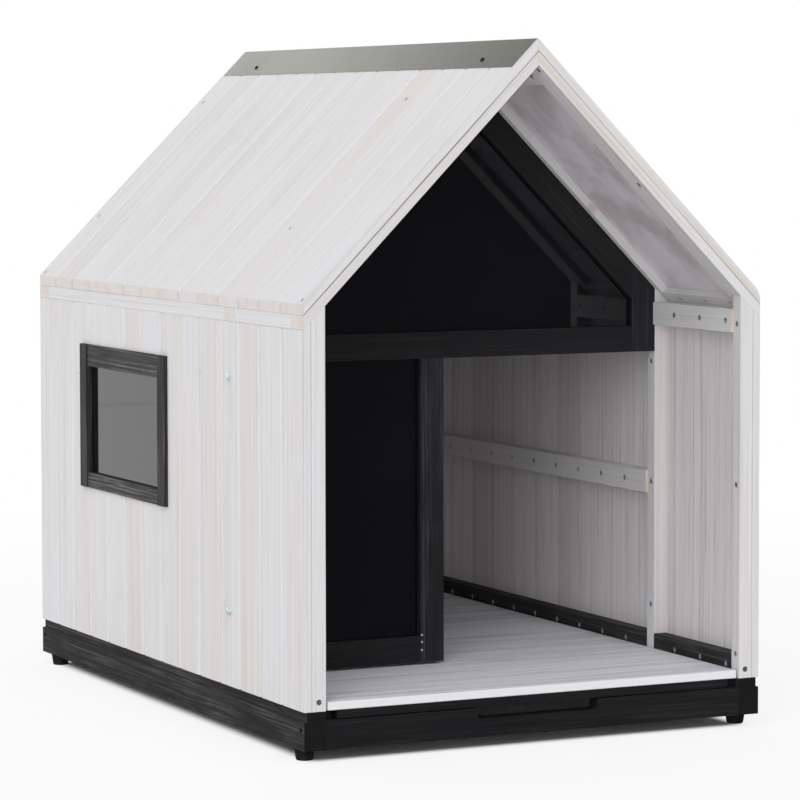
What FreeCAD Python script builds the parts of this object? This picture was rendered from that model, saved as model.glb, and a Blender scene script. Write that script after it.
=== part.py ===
import FreeCAD, Part
import functools
import math
import os

# A gabled dog house: whitewashed tongue-and-groove boards on a black base with four feet, an open porch,
# a recessed black front wall with dark panes and a doorway, one window, and a floor that slides out.
# Millimetres and degrees. X points right, Y to the back, Z up, and the origin lies on the ground at the
# middle of the plan. Lengths named *_BACK run backwards from the front face of the house, and lengths
# named *_RISE run upwards from the top of the base.

# Overall
HOUSE_WIDTH = 728.0         # over the outer faces of the side walls
WALL_HEIGHT = 527.2         # outer face of a side wall, from the base to the underside of the roof
ROOF_SLOPE = 45.0
SIDE_BOARDS = 14            # boards along each side wall and each roof slope

# Tongue-and-groove boards
BOARD_COVER = 75.0
BOARD_THICKNESS = 12.0
TONGUE_LENGTH = 5.2
TONGUE_THICKNESS = 4.0
TONGUE_END_GAP = 0.8
TONGUE_FACE_GAP = 0.2
WALL_EDGE_RADIUS = 7.5      # the long edges of the show face of a wall or roof board
WALL_EDGE_DEPTH = 3.0
FLOOR_EDGE_RADIUS = 1.0
FLOOR_EDGE_DEPTH = 1.0
BACK_CHAMFER = 0.8

# Feet and base
FOOT_HEIGHT = 18.0
FOOT_TOP_RADIUS = 15.0
FOOT_BOTTOM_RADIUS = 12.0
FOOT_RIM_RADIUS = 2.0
FOOT_END_INSET = 37.5
BEAM_WIDTH = 34.0
BEAM_HEIGHT = 54.0
BEAM_REBATE_HEIGHT = 14.0
BEAM_REBATE_DEPTH = 4.5
CROSS_BEAM_THICKNESS = 24.0
GRIP_WIDTH = 192.0
GRIP_DEPTH = 15.0
GRIP_CORNER_RADIUS = 6.0
LEDGER_WIDTH = 12.0
LEDGER_BACK = 10.0

# Posts and rails
POST_WIDTH = 21.0
TOP_RAIL_THICKNESS = 24.0
RAIL_HEIGHT = 34.0
MIDDLE_RAIL_RISE = 248.0    # underside of the right wall's and back wall's middle rail

# Roof
FRAME_THICKNESS = 14.0      # rafters and battens, square to the slope
RAFTER_WIDTH = 40.0
MIDDLE_RAFTER_LEAD = 12.0   # the middle rafters start this far ahead of the front wall
EAVE_BATTEN_WIDTH = 38.0
RIDGE_BATTEN_WIDTH = 38.5
LEFT_NOSE_RADIUS = 1.5      # along the eave, between the slope and the boards' upright ends
RIGHT_NOSE_RADIUS = 28.0
CEILING_THICKNESS = 3.0
CEILING_GAP = 0.5
CAP_THICKNESS = 1.0
CAP_LEG = 56.0
CAP_END_INSET = 6.0

# Front wall behind the porch
PORCH_DEPTH = 250.0
MEMBER_WIDTH = 39.0
CROSSBEAM_RISE = 465.0
DOORWAY_WIDTH = 357.0
FLOOR_TO_FRONT_WALL = 3.7
PANE_THICKNESS = 3.0
PANE_GROOVE_DEPTH = 6.0
PANE_GAP = 0.2
FRONT_PANE_SETBACK = 9.0

# Window in the left wall
WINDOW_BACK = 497.0
WINDOW_LENGTH = 356.0
WINDOW_RISE = 237.0
WINDOW_HEIGHT = 226.0
WINDOW_STILE_WIDTH = 28.0
WINDOW_TOP_RAIL = 34.0
WINDOW_BOTTOM_RAIL = 23.0
WINDOW_PROUD = 6.0
WINDOW_RAIL_SETBACK = 2.0
WINDOW_PANE_SETBACK = 10.0

# Floor panel
FLOOR_SETBACK = 2.0
FLOOR_SIDE_GAP = 3.5        # to the posts and bottom rails
FLOOR_REAR_GAP = 4.0        # to the back wall's bottom rail
FLOOR_REST_GAP = 0.3        # to the ledgers
CLEAT_THICKNESS = 12.0
CLEAT_WIDTH = 34.0
CLEAT_UNDER_GAP = 1.3       # between the cleats and the beams below them
CLEAT_SIDE_GAP = 5.0        # to the ledgers
RUNNER_COUNT = 3
RUNNER_WIDTH = 34.0
RUNNER_PITCH = 210.0

# Screws
SCREW_HEAD_RADIUS = 4.0
SCREW_HEAD_HEIGHT = 2.4
SCREW_SHANK_RADIUS = 2.0
SCREW_SINK = 0.4
SCREW_BITE = 8.0            # how far a screw enters the second piece
RECESS_SPAN = 4.6           # the cross in a screw's head
RECESS_SLOT = 1.0
RECESS_DEPTH = 1.4
CAP_SCREW_HEAD_RADIUS = 3.6
CAP_SCREW_HEAD_HEIGHT = 2.0
CAP_SCREW_LENGTH = 15.0
BOLT_HEAD_RADIUS = 5.0
BOLT_HEAD_HEIGHT = 4.5
BOLT_SHANK_RADIUS = 2.5
BOLT_BITE = 26.0
WASHER_RADIUS = 7.0
WASHER_THICKNESS = 1.5
WASHER_HOLE_GAP = 0.3
HEAD_ROUNDING = 1.3
BASE_SCREW_BITE = 24.0
BASE_SCREW_BELOW_TOP = 26.0
FOOT_SCREW_SINK = 6.0
FOOT_SCREW_BITE = 20.0
FRONT_POST_SCREW_RISES = (35.0, 283.0, 518.0)
MIDDLE_POST_SCREW_RISES = (78.0, 266.0)
MIDDLE_POST_TOP_SCREW_RISE = 449.0
REAR_POST_SCREW_RISES = (158.0, 388.0)
POST_FOOT_SCREW_RISE = 13.0
LEFT_BOLT_RISES = (110.0, 448.0)
RIGHT_BOLT_RISES = (478.0, 513.0)
EAVE_SCREW_START = 12.0
EAVE_SCREW_PITCH = 73.0
EAVE_SCREW_INSET = 11.0
RIDGE_SCREW_RUN = 21.0
RAFTER_SCREW_RUNS = (10.0, 240.0)
RAFTER_SCREW_BACK = 15.0
ROOF_SCREW_RUNS = (91.0, 354.0)
EAVE_CORNER_SCREW_INSET = 5.8     # from where the nose begins
EAVE_CORNER_SCREW_BACK = 13.0
CAP_SCREW_RUN = 14.0
CAP_SCREW_END_INSET = 112.0

# Worked-out planes
SLOPE = math.radians(ROOF_SLOPE)
HALF_WIDTH = HOUSE_WIDTH / 2
DEPTH = SIDE_BOARDS * BOARD_COVER
BASE_TOP = FOOT_HEIGHT + BEAM_HEIGHT
WALL_INNER = HALF_WIDTH - BOARD_THICKNESS
POST_INNER = WALL_INNER - POST_WIDTH
BEAM_INNER = HALF_WIDTH - BEAM_WIDTH
LEDGER_INNER = BEAM_INNER - LEDGER_WIDTH
RAIL_INNER = WALL_INNER - TOP_RAIL_THICKNESS
BACK_WALL_BACK = DEPTH - BOARD_THICKNESS
REAR_POST_BACK = BACK_WALL_BACK - POST_WIDTH
FRONT_WALL_REAR = PORCH_DEPTH + POST_WIDTH
MIDDLE_RAFTER_BACK = PORCH_DEPTH - MIDDLE_RAFTER_LEAD
REAR_RAFTER_BACK = DEPTH - RAFTER_WIDTH
ROOF_TOP = FRAME_THICKNESS + BOARD_THICKNESS
EAVE_HEIGHT = BASE_TOP + WALL_HEIGHT
TOP_RAIL_RISE = WALL_HEIGHT + BOARD_THICKNESS * math.tan(SLOPE) - RAIL_HEIGHT
LEDGER_HEIGHT = CLEAT_THICKNESS + CLEAT_UNDER_GAP - FLOOR_REST_GAP
CROSS_BEAM_TOP = BASE_TOP - LEDGER_HEIGHT
FLOOR_UNDERSIDE = BASE_TOP + FLOOR_REST_GAP
FLOOR_TOP = FLOOR_UNDERSIDE + BOARD_THICKNESS
FLOOR_HALF_WIDTH = POST_INNER - FLOOR_SIDE_GAP
FLOOR_REAR = REAR_POST_BACK - FLOOR_REAR_GAP
FRONT_WALL_FOOT = FLOOR_TOP + FLOOR_TO_FRONT_WALL
STILE_INNER = POST_INNER - MEMBER_WIDTH
CROSSBEAM_UNDERSIDE = BASE_TOP + CROSSBEAM_RISE
CROSSBEAM_TOP = CROSSBEAM_UNDERSIDE + MEMBER_WIDTH
DOOR_EDGE = POST_INNER - DOORWAY_WIDTH
DOOR_POST_LEFT = DOOR_EDGE - MEMBER_WIDTH
WINDOW_END = WINDOW_BACK + WINDOW_LENGTH
WINDOW_BOTTOM = BASE_TOP + WINDOW_RISE
WINDOW_TOP = WINDOW_BOTTOM + WINDOW_HEIGHT
BAYS = ((POST_WIDTH, PORCH_DEPTH), (FRONT_WALL_REAR, REAR_POST_BACK))
ROOF_BAYS = ((RAFTER_WIDTH, MIDDLE_RAFTER_BACK), (MIDDLE_RAFTER_BACK + RAFTER_WIDTH, REAR_RAFTER_BACK))

RIGHT = FreeCAD.Vector(1, 0, 0)
BACKWARDS = FreeCAD.Vector(0, 1, 0)
UP = FreeCAD.Vector(0, 0, 1)
DOWN = FreeCAD.Vector(0, 0, -1)
OFF_ROOF = FreeCAD.Vector(math.sin(SLOPE), 0, math.cos(SLOPE))


def y_at(back):
    """Y of the plane that lies `back` behind the front face."""
    return back - DEPTH / 2


def roof_z(x, height):
    """Height at x of the right slope's plane lying `height` square above the roof's underside."""
    return EAVE_HEIGHT + (HALF_WIDTH - x) * math.tan(SLOPE) + height / math.cos(SLOPE)


def on_slope(run, height):
    """X and Z on the right slope: `run` down the underside from the ridge, `height` square above it."""
    x = run * math.cos(SLOPE) + height * math.sin(SLOPE)
    z = roof_z(0, 0) - run * math.sin(SLOPE) + height * math.cos(SLOPE)
    return x, z


def roof_point(run, height, back):
    """Point on the right slope as in on_slope, `back` behind the front face."""
    x, z = on_slope(run, height)
    return FreeCAD.Vector(x, y_at(back), z)


EAVE_RUN = HALF_WIDTH / math.cos(SLOPE)
EAVE_BATTEN_RUN = EAVE_RUN - EAVE_BATTEN_WIDTH
EAVE_TOP_RUN = EAVE_RUN - ROOF_TOP * math.tan(SLOPE)


def outline(steps, to_space):
    """Face bounded by the steps: a pair is a straight run to that point, and two pairs are an arc through
    the first to the second."""
    corner = to_space(*steps[-1][-2:])
    edges = []
    for step in steps:
        end = to_space(*step[-2:])
        if len(step) == 4:
            edges.append(Part.Arc(corner, to_space(*step[:2]), end).toShape())
        else:
            edges.append(Part.LineSegment(corner, end).toShape())
        corner = end
    return Part.Face(Part.Wire(edges))


def block(x_span, back_span, z_span):
    """Box between two X, two distances behind the front face, and two heights."""
    corner = FreeCAD.Vector(x_span[0], y_at(back_span[0]), z_span[0])
    return Part.makeBox(x_span[1] - x_span[0], back_span[1] - back_span[0], z_span[1] - z_span[0], corner)


def prism(steps, back_span):
    """Outline in X and Z, drawn out from one distance behind the front face to another."""
    y = y_at(back_span[0])
    face = outline(steps, lambda x, z: FreeCAD.Vector(x, y, z))
    return face.extrude(BACKWARDS * (back_span[1] - back_span[0]))


def mirrored(solids):
    """The same solids on the other side of the house."""
    return [solid.mirror(FreeCAD.Vector(0, 0, 0), RIGHT) for solid in solids]


def cut_by(solids, tool):
    """Every solid that is left of these after cutting by a tool."""
    return [rest for solid in solids for rest in solid.cut(tool).Solids]


def under_slope(x_span, foot, back_span):
    """Upright piece on the right side, from the height `foot` to the sloping underside of the roof."""
    near, far = x_span
    steps = [(near, foot), (far, foot), (far, roof_z(far, 0)), (near, roof_z(near, 0))]
    return prism(steps, back_span)


def slope_slab(x_span, height_span, back_span):
    """Piece that follows the right slope, with upright ends."""
    near, far = x_span
    low, high = height_span
    steps = [(near, roof_z(near, low)), (far, roof_z(far, low)), (far, roof_z(far, high)),
             (near, roof_z(near, high))]
    return prism(steps, back_span)


# Tongue-and-groove boards

def eased_edge(radius, depth):
    """Width of an eased edge, and the middle of its arc measured from the board's edge and show face."""
    width = math.sqrt(2 * radius * depth - depth * depth)
    middle = (math.pi / 2 + math.atan2(radius - depth, -width)) / 2
    return width, width + radius * math.cos(middle), radius - radius * math.sin(middle)


def board_face(width, has_groove, has_tongue, edge, to_space):
    """Cross-section of a board, given by its places across it and from its back face to its show face."""
    radius, depth = edge
    ease, middle_in, middle_down = eased_edge(radius, depth)
    show = BOARD_THICKNESS
    tongue_low = (BOARD_THICKNESS - TONGUE_THICKNESS) / 2
    tongue_high = tongue_low + TONGUE_THICKNESS
    steps = [(BACK_CHAMFER, 0), (width - BACK_CHAMFER, 0), (width, BACK_CHAMFER)]
    if has_tongue:
        tip = width + TONGUE_LENGTH
        steps += [(width, tongue_low), (tip, tongue_low), (tip, tongue_high), (width, tongue_high)]
        steps += [(width, show - depth), (width - middle_in, show - middle_down, width - ease, show)]
    else:
        steps += [(width, show)]
    if has_groove:
        groove_low = tongue_low - TONGUE_FACE_GAP
        groove_high = tongue_high + TONGUE_FACE_GAP
        floor = TONGUE_LENGTH + TONGUE_END_GAP
        steps += [(ease, show), (middle_in, show - middle_down, 0, show - depth)]
        steps += [(0, groove_high), (floor, groove_high), (floor, groove_low), (0, groove_low)]
    else:
        steps += [(0, show)]
    steps += [(0, BACK_CHAMFER)]
    return outline(steps, to_space)


def board_row(marks, length, origin, across, outward, edge):
    """Boards side by side between marks measured along `across`, drawn out square to both directions."""
    row = []
    last = len(marks) - 2
    for number, (start, end) in enumerate(zip(marks, marks[1:])):
        corner = origin + across * start
        face = board_face(end - start, number > 0, number < last, edge,
                          lambda x, y: corner + across * x + outward * y)
        row.append(face.extrude(across.cross(outward) * length))
    return row


def trimmed(boards, section):
    """What of the boards lies inside a section."""
    return [piece for board in boards for piece in board.common(section).Solids]


def side_marks():
    """Edges of the boards of a side wall or roof slope, from the front."""
    return [number * BOARD_COVER for number in range(SIDE_BOARDS + 1)]


def centred_marks(total):
    """Edges of full boards laid about the middle, with a board ripped to fit at each end."""
    full = int(total / BOARD_COVER - 1)
    ripped = (total - full * BOARD_COVER) / 2
    return [0] + [ripped + number * BOARD_COVER for number in range(full + 1)] + [total]


WALL_EDGE = (WALL_EDGE_RADIUS, WALL_EDGE_DEPTH)
FLOOR_EDGE = (FLOOR_EDGE_RADIUS, FLOOR_EDGE_DEPTH)


def side_wall():
    """Upright boards of the right wall, cut to the slope at the top."""
    crown = roof_z(WALL_INNER, ROOF_TOP)
    origin = FreeCAD.Vector(WALL_INNER, y_at(0), crown)
    boards = board_row(side_marks(), crown, origin, BACKWARDS, RIGHT, WALL_EDGE)
    return trimmed(boards, under_slope((WALL_INNER, HALF_WIDTH), BASE_TOP, (0, DEPTH)))


def windowed_wall():
    """Boards of the left wall, with the opening for the window."""
    opening = block((-HALF_WIDTH, -WALL_INNER), (WINDOW_BACK, WINDOW_END), (WINDOW_BOTTOM, WINDOW_TOP))
    return cut_by(mirrored(side_wall()), opening)


def back_wall():
    """Upright boards of the back wall between the side walls, cut to the gable."""
    origin = FreeCAD.Vector(-WALL_INNER, y_at(BACK_WALL_BACK), BASE_TOP)
    length = roof_z(0, 0) - BASE_TOP
    boards = board_row(centred_marks(2 * WALL_INNER), length, origin, RIGHT, BACKWARDS, WALL_EDGE)
    shoulder = roof_z(WALL_INNER, 0)
    gable = [(-WALL_INNER, BASE_TOP), (WALL_INNER, BASE_TOP), (WALL_INNER, shoulder), (0, roof_z(0, 0)),
             (-WALL_INNER, shoulder)]
    return trimmed(boards, prism(gable, (BACK_WALL_BACK, DEPTH)))


def nose_tangent(radius):
    """Distance from the corner of the eave to where a nose of this radius begins."""
    return radius * math.tan((math.pi / 2 - SLOPE) / 2)


def roof_boards(nose_radius):
    """Boards down the right slope, with upright ends and a rounded nose at the eave."""
    corner = roof_z(HALF_WIDTH, ROOF_TOP)
    turn = math.pi / 2 - SLOPE
    tangent = nose_tangent(nose_radius)
    centre_x = HALF_WIDTH - nose_radius
    centre_z = corner - tangent
    middle = (centre_x + nose_radius * math.cos(turn / 2),
              centre_z + nose_radius * math.sin(turn / 2))
    nose_top = (HALF_WIDTH - tangent * math.cos(SLOPE), corner + tangent * math.sin(SLOPE))
    steps = [(0, roof_z(0, FRAME_THICKNESS)), (HALF_WIDTH, roof_z(HALF_WIDTH, FRAME_THICKNESS)),
             (HALF_WIDTH, centre_z), middle + nose_top, (0, roof_z(0, ROOF_TOP))]
    origin = roof_point(-ROOF_TOP, FRAME_THICKNESS, 0)
    length = EAVE_RUN + 2 * ROOF_TOP
    boards = board_row(side_marks(), length, origin, BACKWARDS, OFF_ROOF, WALL_EDGE)
    return trimmed(boards, prism(steps, (0, DEPTH)))


# Base

def side_beam():
    """Right beam of the base, its top outer edge cut back below the wall boards."""
    ledge = BASE_TOP - BEAM_REBATE_HEIGHT
    upper = HALF_WIDTH - BEAM_REBATE_DEPTH
    steps = [(BEAM_INNER, FOOT_HEIGHT), (HALF_WIDTH, FOOT_HEIGHT), (HALF_WIDTH, ledge), (upper, ledge),
             (upper, BASE_TOP), (BEAM_INNER, BASE_TOP)]
    return prism(steps, (0, DEPTH))


def front_beam():
    """Front beam, with the slot in its top edge that fingers reach through to pull the floor out."""
    edge = GRIP_WIDTH / 2
    floor = CROSS_BEAM_TOP - GRIP_DEPTH
    radius = GRIP_CORNER_RADIUS
    inset = radius * (1 - math.cos(math.pi / 4))
    steps = [(-BEAM_INNER, FOOT_HEIGHT), (BEAM_INNER, FOOT_HEIGHT), (BEAM_INNER, CROSS_BEAM_TOP),
             (edge, CROSS_BEAM_TOP), (edge, floor + radius),
             (edge - inset, floor + inset, edge - radius, floor), (radius - edge, floor),
             (inset - edge, floor + inset, -edge, floor + radius), (-edge, CROSS_BEAM_TOP),
             (-BEAM_INNER, CROSS_BEAM_TOP)]
    return prism(steps, (0, CROSS_BEAM_THICKNESS))


def middle_beam():
    """Cross beam below the middle of the floor."""
    start = (DEPTH - CROSS_BEAM_THICKNESS) / 2
    span = (start, start + CROSS_BEAM_THICKNESS)
    return block((-BEAM_INNER, BEAM_INNER), span, (FOOT_HEIGHT, CROSS_BEAM_TOP))


def back_beam():
    """Back beam, which the back wall stands on."""
    return block((-BEAM_INNER, BEAM_INNER), (DEPTH - CROSS_BEAM_THICKNESS, DEPTH), (FOOT_HEIGHT, BASE_TOP))


def ledger():
    """Strip inside the right beam that the floor's edge slides on."""
    span = (LEDGER_BACK, DEPTH - CROSS_BEAM_THICKNESS)
    return block((LEDGER_INNER, BEAM_INNER), span, (CROSS_BEAM_TOP, BASE_TOP))


def foot_spots():
    """Centres of the four feet on the ground."""
    x = HALF_WIDTH - BEAM_WIDTH / 2
    backs = (FOOT_END_INSET, DEPTH - FOOT_END_INSET)
    return [FreeCAD.Vector(side * x, y_at(back), 0) for side in (-1, 1) for back in backs]


def foot(spot):
    """Tapered foot with a rounded lower rim."""
    cone = Part.makeCone(FOOT_BOTTOM_RADIUS, FOOT_TOP_RADIUS, FOOT_HEIGHT, spot)
    rim = [edge for edge in cone.Edges if edge.BoundBox.ZMax < FOOT_RIM_RADIUS]
    return cone.makeFillet(FOOT_RIM_RADIUS, rim)


# Posts and rails

def post(back):
    """Right-hand post with its front face `back` behind the front of the house."""
    return under_slope((POST_INNER, WALL_INNER), BASE_TOP, (back, back + POST_WIDTH))


def side_rails(inner, rise, bays):
    """Level rails on the right wall's inner face."""
    heights = (BASE_TOP + rise, BASE_TOP + rise + RAIL_HEIGHT)
    return [block((inner, WALL_INNER), bay, heights) for bay in bays]


def back_rail(rise):
    """Level rail on the back wall, between the rear posts."""
    heights = (BASE_TOP + rise, BASE_TOP + rise + RAIL_HEIGHT)
    return block((-POST_INNER, POST_INNER), (REAR_POST_BACK, BACK_WALL_BACK), heights)


# Roof frame

def rafter(back):
    """Right-hand rafter, mitred at the ridge and upright at the eave."""
    return slope_slab((0, HALF_WIDTH), (0, FRAME_THICKNESS), (back, back + RAFTER_WIDTH))


def eave_batten(bay):
    """Batten along the right eave between two rafters."""
    steps = [on_slope(EAVE_BATTEN_RUN, 0), (HALF_WIDTH, roof_z(HALF_WIDTH, 0)),
             (HALF_WIDTH, roof_z(HALF_WIDTH, FRAME_THICKNESS)), on_slope(EAVE_BATTEN_RUN, FRAME_THICKNESS)]
    return prism(steps, bay)


def ridge_batten(bay):
    """Batten along the right side of the ridge between two rafters."""
    steps = [(0, roof_z(0, 0)), on_slope(RIDGE_BATTEN_WIDTH, 0),
             on_slope(RIDGE_BATTEN_WIDTH, FRAME_THICKNESS), (0, roof_z(0, FRAME_THICKNESS))]
    return prism(steps, bay)


def ceiling_panel(bay):
    """Thin lining under the right slope's boards, inside the frame of rafters and battens."""
    top = RIDGE_BATTEN_WIDTH + CEILING_GAP
    bottom = EAVE_BATTEN_RUN - CEILING_GAP
    low = FRAME_THICKNESS - CEILING_THICKNESS
    steps = [on_slope(top, low), on_slope(bottom, low), on_slope(bottom, FRAME_THICKNESS),
             on_slope(top, FRAME_THICKNESS)]
    return prism(steps, (bay[0] + CEILING_GAP, bay[1] - CEILING_GAP))


def ridge_cap():
    """Folded sheet over the ridge, bent round the meeting edge of the boards."""
    apex = roof_z(0, ROOF_TOP)
    leg_x = CAP_LEG * math.cos(SLOPE)
    leg_z = apex - CAP_LEG * math.sin(SLOPE)
    off_x = CAP_THICKNESS * math.sin(SLOPE)
    off_z = CAP_THICKNESS * math.cos(SLOPE)
    steps = [(0, apex), (leg_x, leg_z), (leg_x + off_x, leg_z + off_z), (off_x, apex + off_z),
             (0, apex + CAP_THICKNESS, -off_x, apex + off_z), (-leg_x - off_x, leg_z + off_z),
             (-leg_x, leg_z)]
    return prism(steps, (CAP_END_INSET, DEPTH - CAP_END_INSET))


# Front wall behind the porch

FRONT_WALL = (PORCH_DEPTH, FRONT_WALL_REAR)


def gable_light(grow):
    """Outline of the opening above the crossbeam, enlarged on every side by `grow`."""
    edge = STILE_INNER + grow
    below = CROSSBEAM_TOP - grow
    above = grow - MEMBER_WIDTH
    return [(-edge, below), (edge, below), (edge, roof_z(edge, above)), (0, roof_z(0, above)),
            (-edge, roof_z(edge, above))]


def lower_light(grow):
    """Outline of the opening beside the doorway, enlarged on every side by `grow`."""
    left = -STILE_INNER - grow
    right = DOOR_POST_LEFT + grow
    below = FRONT_WALL_FOOT + MEMBER_WIDTH - grow
    above = CROSSBEAM_UNDERSIDE + grow
    return [(left, below), (right, below), (right, above), (left, above)]


def front_pane(light):
    """Pane that stands in the grooves round an opening of the front wall."""
    start = PORCH_DEPTH + FRONT_PANE_SETBACK
    return prism(light(PANE_GROOVE_DEPTH - PANE_GAP), (start, start + PANE_THICKNESS))


def pane_groove(light):
    """Space that a pane's grooves take out of the members round an opening."""
    start = PORCH_DEPTH + FRONT_PANE_SETBACK - PANE_GAP
    return prism(light(PANE_GROOVE_DEPTH), (start, start + PANE_THICKNESS + 2 * PANE_GAP))


def front_wall_members():
    """Black timbers of the front wall, grooved for the panes."""
    chord = slope_slab((0, STILE_INNER), (-MEMBER_WIDTH, 0), FRONT_WALL)
    stile_span = (STILE_INNER, POST_INNER)
    rail_heights = (FRONT_WALL_FOOT, FRONT_WALL_FOOT + MEMBER_WIDTH)
    members = {
        "front_wall_stile_left": mirrored([under_slope(stile_span, FRONT_WALL_FOOT, FRONT_WALL)]),
        "front_wall_stile_right": [under_slope(stile_span, CROSSBEAM_UNDERSIDE, FRONT_WALL)],
        "front_wall_chord_left": mirrored([chord]),
        "front_wall_chord_right": [chord],
        "front_wall_crossbeam": [block((-STILE_INNER, STILE_INNER), FRONT_WALL,
                                       (CROSSBEAM_UNDERSIDE, CROSSBEAM_TOP))],
        "front_wall_door_post": [block((DOOR_POST_LEFT, DOOR_EDGE), FRONT_WALL,
                                       (FRONT_WALL_FOOT, CROSSBEAM_UNDERSIDE))],
        "front_wall_bottom_rail": [block((-STILE_INNER, DOOR_POST_LEFT), FRONT_WALL, rail_heights)],
    }
    grooves = [pane_groove(gable_light), pane_groove(lower_light)]
    return {name: cut_by(solids, grooves) for name, solids in members.items()}


# Window in the left wall

WINDOW_FACE = -HALF_WIDTH - WINDOW_PROUD
WINDOW_LIGHT = (WINDOW_BACK + WINDOW_STILE_WIDTH, WINDOW_END - WINDOW_STILE_WIDTH)
WINDOW_LIGHT_HEIGHTS = (WINDOW_BOTTOM + WINDOW_BOTTOM_RAIL, WINDOW_TOP - WINDOW_TOP_RAIL)


def window_sheet(thickness, reach, front):
    """Sheet in the window's plane that reaches past its clear opening on every side."""
    spans = [(low - reach, high + reach) for low, high in (WINDOW_LIGHT, WINDOW_LIGHT_HEIGHTS)]
    return block((front, front + thickness), *spans)


def window_pane():
    """Pane that stands in the window's grooves."""
    return window_sheet(PANE_THICKNESS, PANE_GROOVE_DEPTH - PANE_GAP, WINDOW_FACE + WINDOW_PANE_SETBACK)


def window_groove():
    """Space that the pane's grooves take out of the window's frame."""
    front = WINDOW_FACE + WINDOW_PANE_SETBACK - PANE_GAP
    return window_sheet(PANE_THICKNESS + 2 * PANE_GAP, PANE_GROOVE_DEPTH, front)


def window_stiles():
    """Upright members of the window's frame."""
    heights = (WINDOW_BOTTOM, WINDOW_TOP)
    spans = ((WINDOW_BACK, WINDOW_LIGHT[0]), (WINDOW_LIGHT[1], WINDOW_END))
    stiles = [block((WINDOW_FACE, -WALL_INNER), span, heights) for span in spans]
    return cut_by(stiles, window_groove())


def window_rails():
    """Level members of the window's frame, a little behind the stiles' face."""
    thickness = (WINDOW_FACE + WINDOW_RAIL_SETBACK, -WALL_INNER)
    heights = ((WINDOW_BOTTOM, WINDOW_LIGHT_HEIGHTS[0]), (WINDOW_LIGHT_HEIGHTS[1], WINDOW_TOP))
    return cut_by([block(thickness, WINDOW_LIGHT, span) for span in heights], window_groove())


# Floor panel

CLEAT_HEIGHTS = (FLOOR_UNDERSIDE - CLEAT_THICKNESS, FLOOR_UNDERSIDE)
CLEAT_BACKS = (FLOOR_SETBACK, FLOOR_REAR - CLEAT_WIDTH)


def floor_marks():
    """Edges of the floor's boards, measured from its front edge."""
    return centred_marks(FLOOR_REAR - FLOOR_SETBACK)


def floor_boards():
    """Boards across the floor, laid from front to back."""
    origin = FreeCAD.Vector(-FLOOR_HALF_WIDTH, y_at(FLOOR_SETBACK), FLOOR_UNDERSIDE)
    return board_row(floor_marks(), 2 * FLOOR_HALF_WIDTH, origin, BACKWARDS, UP, FLOOR_EDGE)


def floor_cleats():
    """Cross pieces under the floor's front and back edges."""
    reach = LEDGER_INNER - CLEAT_SIDE_GAP
    return [block((-reach, reach), (back, back + CLEAT_WIDTH), CLEAT_HEIGHTS) for back in CLEAT_BACKS]


def runner_centres():
    """X of the middle of each runner."""
    return [(number - (RUNNER_COUNT - 1) / 2) * RUNNER_PITCH for number in range(RUNNER_COUNT)]


def floor_runners():
    """Lengthwise strips under the floor, between its cleats."""
    span = (CLEAT_BACKS[0] + CLEAT_WIDTH, CLEAT_BACKS[1])
    half = RUNNER_WIDTH / 2
    return [block((x - half, x + half), span, CLEAT_HEIGHTS) for x in runner_centres()]


# Screws

def cross_recess(top):
    """The cross that a driver fits, cut down from a head whose top is at this height."""
    slot = Part.makeBox(RECESS_SPAN, RECESS_SLOT, RECESS_DEPTH,
                        FreeCAD.Vector(-RECESS_SPAN / 2, -RECESS_SLOT / 2, top))
    crossing = slot.copy()
    crossing.rotate(FreeCAD.Vector(0, 0, 0), UP, 90)
    return [slot, crossing]


@functools.lru_cache(maxsize=None)
def countersunk(length, sink):
    """Countersunk screw into +Z, its head `sink` below the surface at the origin; and the hole it needs."""
    neck = sink + SCREW_HEAD_HEIGHT
    head = Part.makeCone(SCREW_HEAD_RADIUS, SCREW_SHANK_RADIUS, SCREW_HEAD_HEIGHT, UP * sink)
    shank = Part.makeCylinder(SCREW_SHANK_RADIUS, sink + length - neck, UP * neck)
    body = head.fuse(shank).removeSplitter()
    mouth = Part.makeCylinder(SCREW_HEAD_RADIUS, 2 * sink, DOWN * sink)
    return body.cut(cross_recess(sink)), body.fuse(mouth).removeSplitter()


@functools.lru_cache(maxsize=None)
def round_headed(head_radius, head_height, shank_radius, length):
    """Round-headed screw into +Z, its head standing on the surface at the origin; and the hole it needs."""
    head = Part.makeCylinder(head_radius, head_height, DOWN * head_height)
    crown = [edge for edge in head.Edges if edge.BoundBox.ZMax < -head_height / 2]
    head = head.makeFillet(HEAD_ROUNDING, crown)
    shank = Part.makeCylinder(shank_radius, length)
    return head.fuse(shank).removeSplitter().cut(cross_recess(-head_height)), shank


def placed(kind, point, direction):
    """A screw of this kind and its hole, from a point on the surface into a direction."""
    turn = FreeCAD.Rotation(UP, direction)
    copies = [shape.copy() for shape in kind]
    for shape in copies:
        shape.Placement = FreeCAD.Placement(point, turn)
    return copies


def across_house(vector):
    """The same point or direction on the other side of the house."""
    return FreeCAD.Vector(-vector.x, vector.y, vector.z)


def on_both_sides(kind, spots):
    """Screws of one kind at spots given for the right side, and at the same spots on the left side."""
    mirror = [(across_house(point), across_house(direction)) for point, direction in spots]
    return [placed(kind, point, direction) for point, direction in spots + mirror]


def wall_spot(x, back, rise, direction):
    """A screw's spot at this X, distance behind the front and height above the base."""
    return FreeCAD.Vector(x, y_at(back), BASE_TOP + rise), direction


def board_centres(marks):
    """Middle of each board between its marks."""
    return [(start + end) / 2 for start, end in zip(marks, marks[1:])]


def in_bays(backs):
    """Those distances behind the front that lie along a rail, clear of its ends."""
    clear = 2 * SCREW_HEAD_RADIUS
    return [back for back in backs if any(start + clear < back < end - clear for start, end in BAYS)]


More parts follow.
